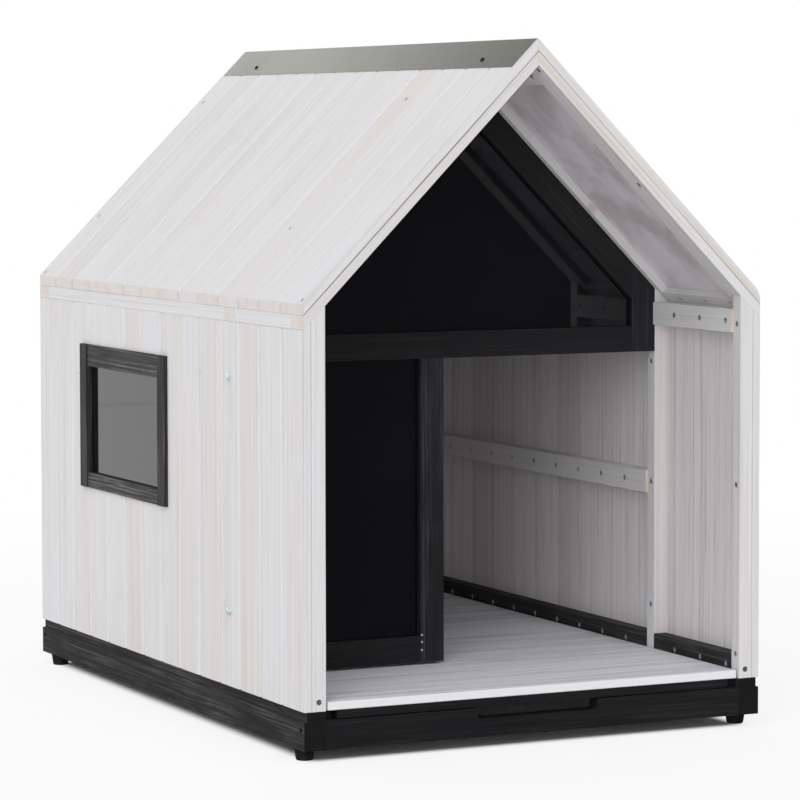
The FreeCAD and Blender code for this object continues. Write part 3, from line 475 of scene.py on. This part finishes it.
def stained_timber(name, along, across, thin_and_lit_share=1.0, crack=None, thin_colour=None):
    """Black-stained softwood with brushed grain: the stain wears off the raised threads along the grain, and
    ends show arcs of growth rings. thin_and_lit_share says how far thin_colour shows through; it stands for
    thinner stain and also for painted light, larger on lit faces and smaller on faces in shade. A crack is a
    thin and nearly straight split, by its place in metres across and along the timber and how much it leans."""
    tone = colours()
    thin_colour = thin_colour or tone.stain_worn
    finish = Finish(name, IOR=1.34)
    side, depth, length = timber_space(finish, along, across)
    sway = finish.noise(finish.vector(side * 6.0, depth * 6.0, length * 3.0), detail=1.0) * 1.6
    broad = finish.noise(finish.vector(side * 110.0 + sway, depth * 110.0 + sway, length * 1.6), detail=3.0)
    threads = finish.noise(finish.vector(side * 430.0 + sway, depth * 430.0 + sway, length * 6.0),
                           detail=5.0, roughness=0.72)
    cloud = finish.noise(finish.vector(side * 24.0, depth * 24.0, length * 8.0), detail=2.0)
    raised = threads.between(0.46, 0.64)
    thin = raised * (0.35 + broad.between(0.40, 0.66) * 0.65) * (0.55 + cloud.between(0.3, 0.7) * 0.45)
    thin = (0.04 + cloud.between(0.35, 0.7) * 0.10) + thin * 0.86
    ends = end_mask(finish, along)
    colour = finish.mix(thin * thin_and_lit_share, tone.stain, thin_colour)
    soft = finish.soft_facing(sizes().arris)
    worn = arris_mask(finish, soft) * raised
    colour = finish.mix(worn * 0.45 * thin_and_lit_share, colour, thin_colour)
    end_place = finish.vector(side - HEART_HEIGHT, depth * RING_SQUEEZE + HEART_OFFSET, 0.0)
    rings = (finish.distance(end_place, ORIGIN) * RING_RATE + sway * 0.8).sine().between(0.1, 0.95)
    colour = finish.mix(ends, colour, finish.mix(rings * broad * 0.10, STAINED_END, tone.stain_worn))
    if crack:
        at_side, at_length, lean = crack
        off = abs(side - at_side - (length - at_length) * lean + sway * 0.0004)
        stretch = 1.0 - abs(length - at_length).between(*CRACK_HALF_LENGTH)
        split = (1.0 - off.between(*CRACK_FADE)) * stretch
        colour = finish.mix(split * (1.0 - ends), colour, CRACK)
    height = threads * 0.8 + broad * 0.5 + ends * rings * 0.6
    return finish.surface(
        Base_Color=colour,
        Roughness=0.55 + threads * 0.22 + ends * 0.1,
        Normal=finish.bump(height, 0.38, 0.0012, soft),
    )


# ---------------------------------------------------------------- panes, lining, metal and plastic

def dark_pane(name, ior):
    """Dark tinted sheet, polished on both faces, with a slight wave and a faint bloom."""
    tone = colours()
    finish = Finish(name, IOR=ior)
    place = finish.place()
    bloom = finish.noise(place, scale=5.0, detail=3.0).between(0.45, 0.8)
    dust = finish.noise(place, scale=420.0, detail=2.0).between(0.62, 0.8)
    wave = finish.noise(place, scale=3.2, detail=1.0)
    return finish.surface(
        Base_Color=finish.mix(bloom * 0.30 + dust * 0.12, tone.pane, PANE_BLOOM),
        Roughness=0.024 + bloom * 0.02,
        Normal=finish.bump(wave, 0.08, 0.003),
    )


def ceiling_lining(name):
    """Smooth lining with a low sheen, the cloudy print of its pressing and a painted shade near the ridge."""
    tone = colours()
    finish = Finish(name, IOR=1.5)
    place = finish.place()
    cloud = finish.noise(place, scale=7.5, detail=4.0, roughness=0.6, distortion=0.4)
    speck = finish.noise(place, scale=520.0, detail=2.0)
    shade = finish.mix(cloud.between(0.38, 0.62) * 0.9, LINING_CLOUD, tone.lining)
    # painted shade: the lining is darkened high up, near the ridge
    high = finish.dot(place, UPRIGHT).between(0.84, 0.98)
    shade = finish.mix(high * 0.45, shade, LINING_PAINTED_RIDGE_SHADE)
    return finish.surface(
        Base_Color=finish.mix(speck.between(0.55, 0.75) * 0.12, shade, LINING_SPECK),
        Roughness=0.36 + cloud * 0.16,
        Normal=finish.bump(cloud + speck * 0.3, 0.10, 0.001),
    )


def rolled_sheet(name):
    """Coated grey sheet with faint rolling lines along the ridge and a mottled sheen. A painted reflection
    darkens it towards the front, and a painted highlight lightens its rounded edges.
    """
    tone = colours()
    finish = Finish(name, IOR=1.5, Metallic=0.75)
    place = finish.place()
    lines = finish.noise(finish.vector(finish.dot(place, ACROSS_HOUSE) * 700.0, finish.dot(place, DEEP) * 5.0,
                                       finish.dot(place, UPRIGHT) * 700.0), detail=3.0)
    cloud = finish.noise(place, scale=9.0, detail=3.0)
    soft = finish.soft_facing(sizes().arris)
    # painted reflection: the sheet darkens towards the front, where the studio's reflection dims
    painted_reflection_fade = 1.0 - finish.dot(place, DEEP).between(-0.75, 0.42)
    colour = finish.mix(painted_reflection_fade, tone.cap, CAP_PAINTED_REFLECTION_FRONT)
    colour = finish.mix(cloud.between(0.42, 0.75) * 0.22, colour, CAP_MOTTLE)
    # painted highlight: the rounded edges are lightened where light catches them
    return finish.surface(
        Base_Color=finish.mix(arris_mask(finish, soft) * 0.5, colour, CAP_PAINTED_EDGE_HIGHLIGHT),
        Roughness=0.34 + lines * 0.14 + cloud * 0.06,
        Normal=finish.bump(lines, 0.12, 0.0004, soft),
    )


def plated_steel(name, colour, dull, rough, metal=1.0):
    """Turned and plated steel with fine pits and duller patches. With less of a metal, its colour shows as a
    flat coat.
    """
    finish = Finish(name, IOR=2.5, Metallic=metal)
    place = finish.place()
    patch = finish.noise(place, scale=260.0, detail=3.0)
    pits = finish.noise(place, scale=2600.0, detail=2.0)
    soft = finish.soft_facing(sizes().arris * 0.3)
    return finish.surface(
        Base_Color=finish.mix(patch.between(0.35, 0.7) * 0.6, colour, dull),
        Roughness=rough + patch * 0.18,
        Normal=finish.bump(pits, 0.15, 0.0002, soft),
    )


def moulded_plastic(name):
    """Black plastic with a fine moulded texture."""
    tone = colours()
    finish = Finish(name, IOR=1.48)
    place = finish.place()
    grit = finish.noise(place, scale=1800.0, detail=2.0)
    cloud = finish.noise(place, scale=90.0, detail=2.0)
    soft = finish.soft_facing(sizes().arris)
    return finish.surface(
        Base_Color=finish.mix(cloud.between(0.4, 0.75) * 0.5, tone.foot, FOOT_CLOUD),
        Roughness=0.42 + grit * 0.16,
        Normal=finish.bump(grit, 0.25, 0.0002, soft),
    )


def filler_paste(name, colour):
    """Dried wood filler, slightly chalky."""
    finish = Finish(name, IOR=1.4)
    grit = finish.noise(finish.place(), scale=2200.0, detail=3.0)
    return finish.surface(
        Base_Color=finish.mix(grit.between(0.4, 0.7) * 0.5, colour, FILLER_GRIT),
        Roughness=0.7 + grit * 0.2,
        Normal=finish.bump(grit, 0.3, 0.0002),
    )


def first_joint(low, high, cover):
    """Place of the first joint between boards, where the two outermost boards are cut to one width."""
    return low + ((high - low) % cover + cover) / 2


def dress(nodes, material):
    """Give CAD nodes a material."""
    for name in nodes:
        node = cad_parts[name]
        for slot in node.material_slots:
            slot.material = material


# ---------------------------------------------------------------- operators, one for each group of pieces

class PaintWallBoards(bpy.types.Operator):
    """Whitewash the boards of the walls, each with its own streaks"""
    bl_idname = "doghouse.paint_wall_boards"
    bl_label = "Wall boards"

    def execute(self, context):
        width = sizes().board_cover
        low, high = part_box("wall_boards_back")
        start = first_joint(low[0], high[0], width)
        walls = {"wall_boards_left": (DEEP, FRONT, ACROSS_HOUSE),
                 "wall_boards_right": (DEEP, FRONT, LEFTWARDS),
                 "wall_boards_back": (ACROSS_HOUSE, start, FORWARDS)}
        for name, (across, begin, inwards) in walls.items():
            cover = (begin, width, BOARD_SEEDS[name])
            dress((name,), washed_timber("wash_" + name, UPRIGHT, across, cover, raw_face=inwards))
        return {"FINISHED"}


class PaintRoofBoards(bpy.types.Operator):
    """Whitewash the boards of the roof along the slope"""
    bl_idname = "doghouse.paint_roof_boards"
    bl_label = "Roof boards"

    def execute(self, context):
        slopes = {"roof_boards_left": DOWN_LEFT_SLOPE, "roof_boards_right": DOWN_RIGHT_SLOPE}
        for name, slope in slopes.items():
            cover = (FRONT, sizes().board_cover, BOARD_SEEDS[name])
            dress((name,), washed_timber("wash_" + name, slope, DEEP, cover, warmth=0.75, open_joints=0.30))
        return {"FINISHED"}


class PaintFrame(bpy.types.Operator):
    """Whitewash posts, rails, rafters and battens along their own length"""
    bl_idname = "doghouse.paint_frame"
    bl_label = "White frame"

    def execute(self, context):
        places = ("front", "middle", "rear")
        sides = ("left", "right")
        posts = [f"{place}_post_{side}" for place in places for side in sides]
        dress(posts, washed_timber("wash_posts", UPRIGHT, DEEP))
        deep = ["top_rails_left", "top_rails_right", "middle_rail_left", "middle_rail_right",
                "eave_battens_left", "eave_battens_right", "ridge_battens"]
        dress(deep, washed_timber("wash_side_rails", DEEP, UPRIGHT))
        dress(["back_rails"], washed_timber("wash_back_rails", ACROSS_HOUSE, UPRIGHT))
        slopes = {"left": DOWN_LEFT_SLOPE, "right": DOWN_RIGHT_SLOPE}
        # Depth of the roof boards' undersides, measured square to the slope
        under_boards = math.cos(ROOF_SLOPE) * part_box("front_rafter_left")[1][2]
        lines = {"left": (-under_boards, LEFT_EDGE_LINE), "right": (under_boards, RIGHT_EDGE_LINE)}
        for side, slope in slopes.items():
            rafters = [f"{place}_rafter_{side}" for place in places]
            dress(rafters, washed_timber(
                "wash_rafters_" + side, slope, DEEP, warmth=1.3, edge_line=lines[side],
                knot_place=RAFTER_KNOT))
        return {"FINISHED"}


class PaintFloor(bpy.types.Operator):
    """Whitewash the floor's boards across the house"""
    bl_idname = "doghouse.paint_floor"
    bl_label = "Floor boards"

    def execute(self, context):
        width = sizes().board_cover
        low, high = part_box("floor_boards")
        cover = (first_joint(low[1], high[1], width), width, BOARD_SEEDS["floor_boards"])
        dress(("floor_boards",), washed_timber(
            "wash_floor_boards", ACROSS_HOUSE, DEEP, cover, warmth=0.4, rubbed=(FLOOR_STREAK, FLOOR_RUBBED)))
        return {"FINISHED"}


class StainTimber(bpy.types.Operator):
    """Stain the base, the front wall's frame, the window's frame and the floor's bearers black"""
    bl_idname = "doghouse.stain_timber"
    bl_label = "Black timber"

    def execute(self, context):
        # The shares stand for thinner stain and also for painted light: the left side beam and the window
        # frame on the lit left side get more, and the timbers that face the front get the least, as painted
        # shade.
        dress(["side_beam_left"], stained_timber(
            "stain_side_beam_left", DEEP, UPRIGHT, thin_and_lit_share=0.80, crack=CRACK_PLACE))
        dress(["side_beam_right", "floor_ledgers", "bottom_rails", "floor_runners"],
              stained_timber("stain_lengthwise", DEEP, UPRIGHT, thin_and_lit_share=0.6))
        dress(["window_rails"], stained_timber("stain_window_rails", DEEP, UPRIGHT, thin_and_lit_share=1.45))
        dress(["window_stiles"], stained_timber("stain_window_stiles", UPRIGHT, DEEP, thin_and_lit_share=0.72))
        wide = ["front_beam", "middle_beam", "back_beam", "floor_cleats", "back_bottom_rail",
                "front_wall_crossbeam", "front_wall_bottom_rail"]
        dress(wide, stained_timber("stain_crosswise", ACROSS_HOUSE, UPRIGHT, thin_and_lit_share=0.10))
        tall = ["front_wall_stile_left", "front_wall_stile_right", "front_wall_door_post"]
        dress(tall, stained_timber(
            "stain_upright", UPRIGHT, ACROSS_HOUSE, thin_and_lit_share=0.34, thin_colour=BLUISH_STAIN))
        for side, slope in {"left": DOWN_LEFT_SLOPE, "right": DOWN_RIGHT_SLOPE}.items():
            dress(["front_wall_chord_" + side],
                  stained_timber("stain_chord_" + side, slope, DEEP, thin_and_lit_share=0.12))
        return {"FINISHED"}


class GlazePanes(bpy.types.Operator):
    """Polish the dark panes of the front wall and the window"""
    bl_idname = "doghouse.glaze_panes"
    bl_label = "Panes"

    def execute(self, context):
        dress(("front_wall_gable_pane", "front_wall_lower_pane"), dark_pane("front_pane", FRONT_PANE_IOR))
        dress(("window_pane",), dark_pane("window_pane", WINDOW_PANE_IOR))
        return {"FINISHED"}


class LineCeiling(bpy.types.Operator):
    """Finish the smooth lining under the roof"""
    bl_idname = "doghouse.line_ceiling"
    bl_label = "Ceiling"

    def execute(self, context):
        dress(("ceiling_panels_left", "ceiling_panels_right"), ceiling_lining("ceiling_lining"))
        return {"FINISHED"}


class FinishMetal(bpy.types.Operator):
    """Coat the ridge cap and plate the screws and washers"""
    bl_idname = "doghouse.finish_metal"
    bl_label = "Metal"

    def execute(self, context):
        dress(("ridge_cap",), rolled_sheet("ridge_sheet"))
        zinc = plated_steel("zinc_plate", colours().zinc, DULL_ZINC, rough=0.38)
        dress(("rail_screws", "post_screws", "roof_screws", "floor_screws"), zinc)
        # painted highlight: the washers and bolts are pale zinc painted near white, and less of a metal so
        # the white shows from every side
        bright = plated_steel("zinc_plate_painted_highlight", ZINC_PAINTED_HIGHLIGHT, DULL_ZINC_PAINTED_HIGHLIGHT, rough=0.46, metal=0.45)
        dress(("wall_bolts", "washers"), bright)
        dark = plated_steel("dark_plate", DARK_PLATE, DULL_DARK_PLATE, rough=0.42)
        dress(("cap_screws", "base_screws"), dark)
        return {"FINISHED"}


class MouldFeet(bpy.types.Operator):
    """Finish the plastic feet"""
    bl_idname = "doghouse.mould_feet"
    bl_label = "Feet"

    def execute(self, context):
        dress(("feet",), moulded_plastic("foot_plastic"))
        return {"FINISHED"}


def domed_spots(centres, out, radius, rise):
    """Round spots on an upright face that looks `out`: a point at share r of the radius and angle a lies
    r times the radius from the centre along the face, and stands proud by the rise times one minus r
    squared. Rings of constant r and spokes of constant a make the grid, and flat faces close the middle and
    the underside."""
    rings = np.linspace(SPOT_MIDDLE, 1.0, SPOT_RINGS)
    angles = np.linspace(0.0, 2 * np.pi, SPOT_SPOKES, endpoint=False)
    share, angle = (grid[..., None] for grid in np.meshgrid(rings, angles, indexing="ij"))
    along = np.cross(UPRIGHT, out)
    spread = share * radius * (np.cos(angle) * along + np.sin(angle) * np.array(UPRIGHT))
    spot = (spread + rise * (1 - share ** 2) * np.array(out)).reshape(-1, 3)
    count = len(angles)
    ring, spoke = np.meshgrid(np.arange(len(rings) - 1), np.arange(count), indexing="ij")
    corner = ring * count + spoke
    beside = ring * count + (spoke + 1) % count
    quads = np.stack([corner, corner + count, beside + count, beside], axis=-1).reshape(-1, 4)
    middle = np.arange(count)
    underside = middle[::-1] + (len(rings) - 1) * count
    points = np.concatenate([spot + centre for centre in centres])
    faces = []
    for start in range(0, len(points), len(spot)):
        faces += (quads + start).tolist() + [(middle + start).tolist(), (underside + start).tolist()]
    return points, faces


def add_spots(name, centres, out, radius, rise, material):
    """Put domed spots on the house as one piece."""
    points, faces = domed_spots(centres, out, radius, rise)
    mesh = bpy.data.meshes.new(name)
    mesh.from_pydata(points.tolist(), [], faces)
    mesh.shade_smooth()
    spots = bpy.data.objects.new(name, mesh)
    bpy.context.collection.objects.link(spots)
    mesh.materials.append(material)
    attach(spots, "house")


class FillJoint(bpy.types.Operator):
    """Put spots of wood filler where the door post meets the bottom rail"""
    bl_idname = "doghouse.fill_joint"
    bl_label = "Filler spots"

    def execute(self, context):
        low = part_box("front_wall_door_post")[0]
        rail_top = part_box("front_wall_bottom_rail")[1][2]
        face = low[1] - FILLER_LIFT
        centres = [np.array((low[0] + FILLER_FROM_DOOR, face, rail_top - drop)) for drop in FILLER_DROPS]
        add_spots("filler_spots", centres, FORWARDS, sizes().filler_radius, sizes().filler_rise,
                  filler_paste("filler_paste", colours().filler))
        return {"FINISHED"}


class FillNailHoles(bpy.types.Operator):
    """Put small spots of filler over the nail holes in the left wall"""
    bl_idname = "doghouse.fill_nail_holes"
    bl_label = "Nail spots"

    def execute(self, context):
        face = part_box("wall_boards_left")[0][0] - FILLER_LIFT
        centres = [np.array((face, deep, high)) for deep, high in NAIL_PLACES]
        add_spots("nail_spots", centres, LEFTWARDS, sizes().nail_radius, sizes().filler_rise,
                  filler_paste("nail_filler", colours().nail))
        return {"FINISHED"}


# ---------------------------------------------------------------- stage

# The camera that the picture was taken with: its place in metres, its turns in radians, and its view
CAMERA_PLACE = (-2.3511, -4.9706, 0.8835)
CAMERA_YAW = 0.44755
CAMERA_PITCH = 0.06189
CAMERA_ROLL = -0.001455
SENSOR_WIDTH = 36.0
FOCAL_PIXELS = 3566.9
PICTURE_PIXELS = 800
AXIS_ROW = 343.21           # row of the picture that the camera's axis passes through
CLIP_END = 200.0

# Lamps: strength, softness, height over the ground and turn from the front to the right, in degrees
WINDOW_LIGHT = (0.66, 40.0, 48.0, -52.0)
FRONT_FILL = (0.95, 50.0, 8.0, -36.0)
AMBIENT = 0.68              # strength of the even light from all around

# Studio as reflections see it: a bright side towards the back left and a dark side towards the front right
DARK_SIDE = 0.08            # how bright the dark side is, where the bright side is 1
SIDE_LEAN = 0.9             # how much the left counts against the back
SIDE_FADE = (-0.9, 0.2)
SKIRTING_AT = 5.48
SKIRTING_FADE = (0.02, 0.07)
SKIRTING_SHADE = 0.14

# Glow of the floor's paper, by distances in metres from the middle of the house
NEAR_GLOW = 0.82
GLOW_FADE = (0.9, 3.0)
REFLECTION_FADE = (0.6, 1.6)    # in reflections, where the bright side sets in
UNDER_SIDES = (0.33, 0.36)  # where the unlit patch beneath the house ends, sideways
UNDER_ENDS = (0.49, 0.52)   # the same, lengthwise


def camera_matrix():
    """World matrix of a camera that looks `pitch` below the level, `yaw` to the right of straight back."""
    yaw, pitch, roll = CAMERA_YAW, CAMERA_PITCH, CAMERA_ROLL
    ahead = np.array((math.sin(yaw) * math.cos(pitch), math.cos(yaw) * math.cos(pitch), -math.sin(pitch)))
    level = np.array((math.cos(yaw), -math.sin(yaw), 0.0))
    lift = np.cross(level, ahead)
    right = math.cos(roll) * level + math.sin(roll) * lift
    up = np.cross(right, ahead)
    matrix = Matrix.Identity(4)
    for column, axis in enumerate((right, up, -ahead, CAMERA_PLACE)):
        for row in range(3):
            matrix[row][column] = float(axis[row])
    return matrix


def sun(name, strength, softness, elevation, azimuth):
    """Lamp like a large soft window far away, by its angles in degrees."""
    data = bpy.data.lights.new(name, "SUN")
    data.energy = strength
    data.angle = math.radians(softness)
    lamp = bpy.data.objects.new(name, data)
    bpy.context.collection.objects.link(lamp)
    lamp.rotation_euler = (math.radians(90 - elevation), 0.0, math.radians(azimuth))


class SetStage(bpy.types.Operator):
    """Set up the pale studio floor, the soft lights, the white surroundings and the camera"""
    bl_idname = "doghouse.set_stage"
    bl_label = "Studio"

    def execute(self, context):
        scene = bpy.context.scene
        scene.view_settings.view_transform = "Standard"
        reach = sizes().floor_reach
        outline = [(-reach, -reach, 0.0), (reach, -reach, 0.0), (reach, reach, 0.0), (-reach, reach, 0.0)]
        mesh = bpy.data.meshes.new("studio_floor")
        mesh.from_pydata(outline, [], [(0, 1, 2, 3)])
        studio = bpy.data.objects.new("studio_floor", mesh)
        bpy.context.collection.objects.link(studio)
        mesh.materials.append(studio_floor_paper("studio_paper"))
        studio_surroundings()
        sun("window_light", *WINDOW_LIGHT)
        sun("front_fill", *FRONT_FILL)
        camera_data = bpy.data.cameras.new("studio_camera")
        camera_data.sensor_width = SENSOR_WIDTH
        camera_data.lens = SENSOR_WIDTH * FOCAL_PIXELS / PICTURE_PIXELS
        camera_data.shift_y = (AXIS_ROW - PICTURE_PIXELS / 2) / PICTURE_PIXELS
        camera_data.clip_end = CLIP_END
        camera = bpy.data.objects.new("studio_camera", camera_data)
        bpy.context.collection.objects.link(camera)
        camera.matrix_world = camera_matrix()
        scene.camera = camera
        return {"FINISHED"}


def studio_floor_paper(name):
    """Pale paper that keeps the object's shadow. For the camera it glows white, fully so far from the house,
    and not at all beneath it. In reflections it is the bright side of the studio towards the back left, with
    the thin line of its skirting, and the dark side towards the front right."""
    finish = Finish(name, Roughness=0.9)
    place = finish.place()
    across = finish.dot(place, ACROSS_HOUSE)
    deep = finish.dot(place, DEEP)
    reach = finish.distance(place, ORIGIN)
    lit_side = ((deep - across * SIDE_LEAN) / (reach + 0.01)).between(*SIDE_FADE)
    lit_side = lit_side * reach.between(*REFLECTION_FADE)
    skirting = 1.0 - abs(deep - SKIRTING_AT).between(*SKIRTING_FADE)
    beneath = (1.0 - abs(across).between(*UNDER_SIDES)) * (1.0 - abs(deep).between(*UNDER_ENDS))
    camera, through, glossy = finish.ray("Camera"), finish.ray("Transmission"), finish.ray("Glossy")
    glow_share = NEAR_GLOW + reach.between(*GLOW_FADE) * (1.0 - NEAR_GLOW)
    seen = (camera + through).clamped() * glow_share * (1.0 - beneath)
    paper = finish.noise(place, scale=40.0, detail=3.0)
    finish.surface(
        Base_Color=finish.mix(paper.between(0.3, 0.8) * 0.3, PAPER, PAPER_FLECK),
        Normal=finish.bump(paper, 0.05, 0.0005),
    )
    mirrored = glossy * (DARK_SIDE + lit_side * (1.0 - DARK_SIDE)) * (1.0 - skirting * SKIRTING_SHADE)
    level = finish.mix(mirrored + (1.0 - glossy), BLACK, WHITE)
    glow = finish.node("ShaderNodeEmission", None, {"Color": level})
    blend = finish.tree.nodes.new("ShaderNodeMixShader")
    finish.join(blend.inputs[0], (seen + glossy).clamped())
    finish.tree.links.new(finish.shader.outputs[0], blend.inputs[1])
    finish.join(blend.inputs[2], glow)
    finish.tree.links.new(blend.outputs[0], finish.tree.nodes["Material Output"].inputs["Surface"])
    return finish.material


def studio_surroundings():
    """White surroundings for the camera and for reflections, dimmer in reflections of the dark side of the
    studio, and a soft even light on everything else."""
    world = bpy.data.worlds.new("studio")
    world.use_nodes = True
    bpy.context.scene.world = world
    sheet = Sheet(world.node_tree)
    back = sheet.tree.nodes["Background"]
    back.inputs["Color"].default_value = (*WHITE, 1.0)
    camera, through, glossy = sheet.ray("Camera"), sheet.ray("Transmission"), sheet.ray("Glossy")
    way = sheet.node("ShaderNodeTexCoord", out="Generated")
    lit_side = (sheet.dot(way, DEEP) - sheet.dot(way, ACROSS_HOUSE) * SIDE_LEAN).between(*SIDE_FADE)
    mirrored = glossy * (DARK_SIDE + lit_side * (1.0 - DARK_SIDE))
    seen = camera.largest(through)
    lit = 1.0 - seen.largest(glossy)
    sheet.join(back.inputs["Strength"], seen.largest(mirrored) + lit * AMBIENT)


class FINISHES_PT_dog_house(bpy.types.Panel):
    """Buttons for the finishes and the studio, with their sizes and colours"""
    bl_idname = "FINISHES_PT_dog_house"
    bl_label = "Dog house"
    bl_space_type = "VIEW_3D"
    bl_region_type = "UI"
    bl_category = "Dog house"

    def draw(self, context):
        for step in STEPS:
            self.layout.operator(step.bl_idname)
        for group in (context.scene.dog_house_sizes, context.scene.dog_house_colours):
            for name in group.__annotations__:
                self.layout.prop(group, name)


STEPS = (PaintWallBoards, PaintRoofBoards, PaintFrame, PaintFloor, StainTimber, GlazePanes, LineCeiling,
         FinishMetal, MouldFeet, FillJoint, FillNailHoles, SetStage)
CLASSES = (DogHouseSizes, DogHouseColours, *STEPS, FINISHES_PT_dog_house)


def register():
    for kind in CLASSES:
        bpy.utils.register_class(kind)
    bpy.types.Scene.dog_house_sizes = PointerProperty(type=DogHouseSizes)
    bpy.types.Scene.dog_house_colours = PointerProperty(type=DogHouseColours)


def unregister():
    del bpy.types.Scene.dog_house_colours
    del bpy.types.Scene.dog_house_sizes
    for kind in reversed(CLASSES):
        bpy.utils.unregister_class(kind)


def main():
    register()
    for step in STEPS:
        group, action = step.bl_idname.split(".")
        getattr(getattr(bpy.ops, group), action)()


if __name__ == "__main__":
    main()
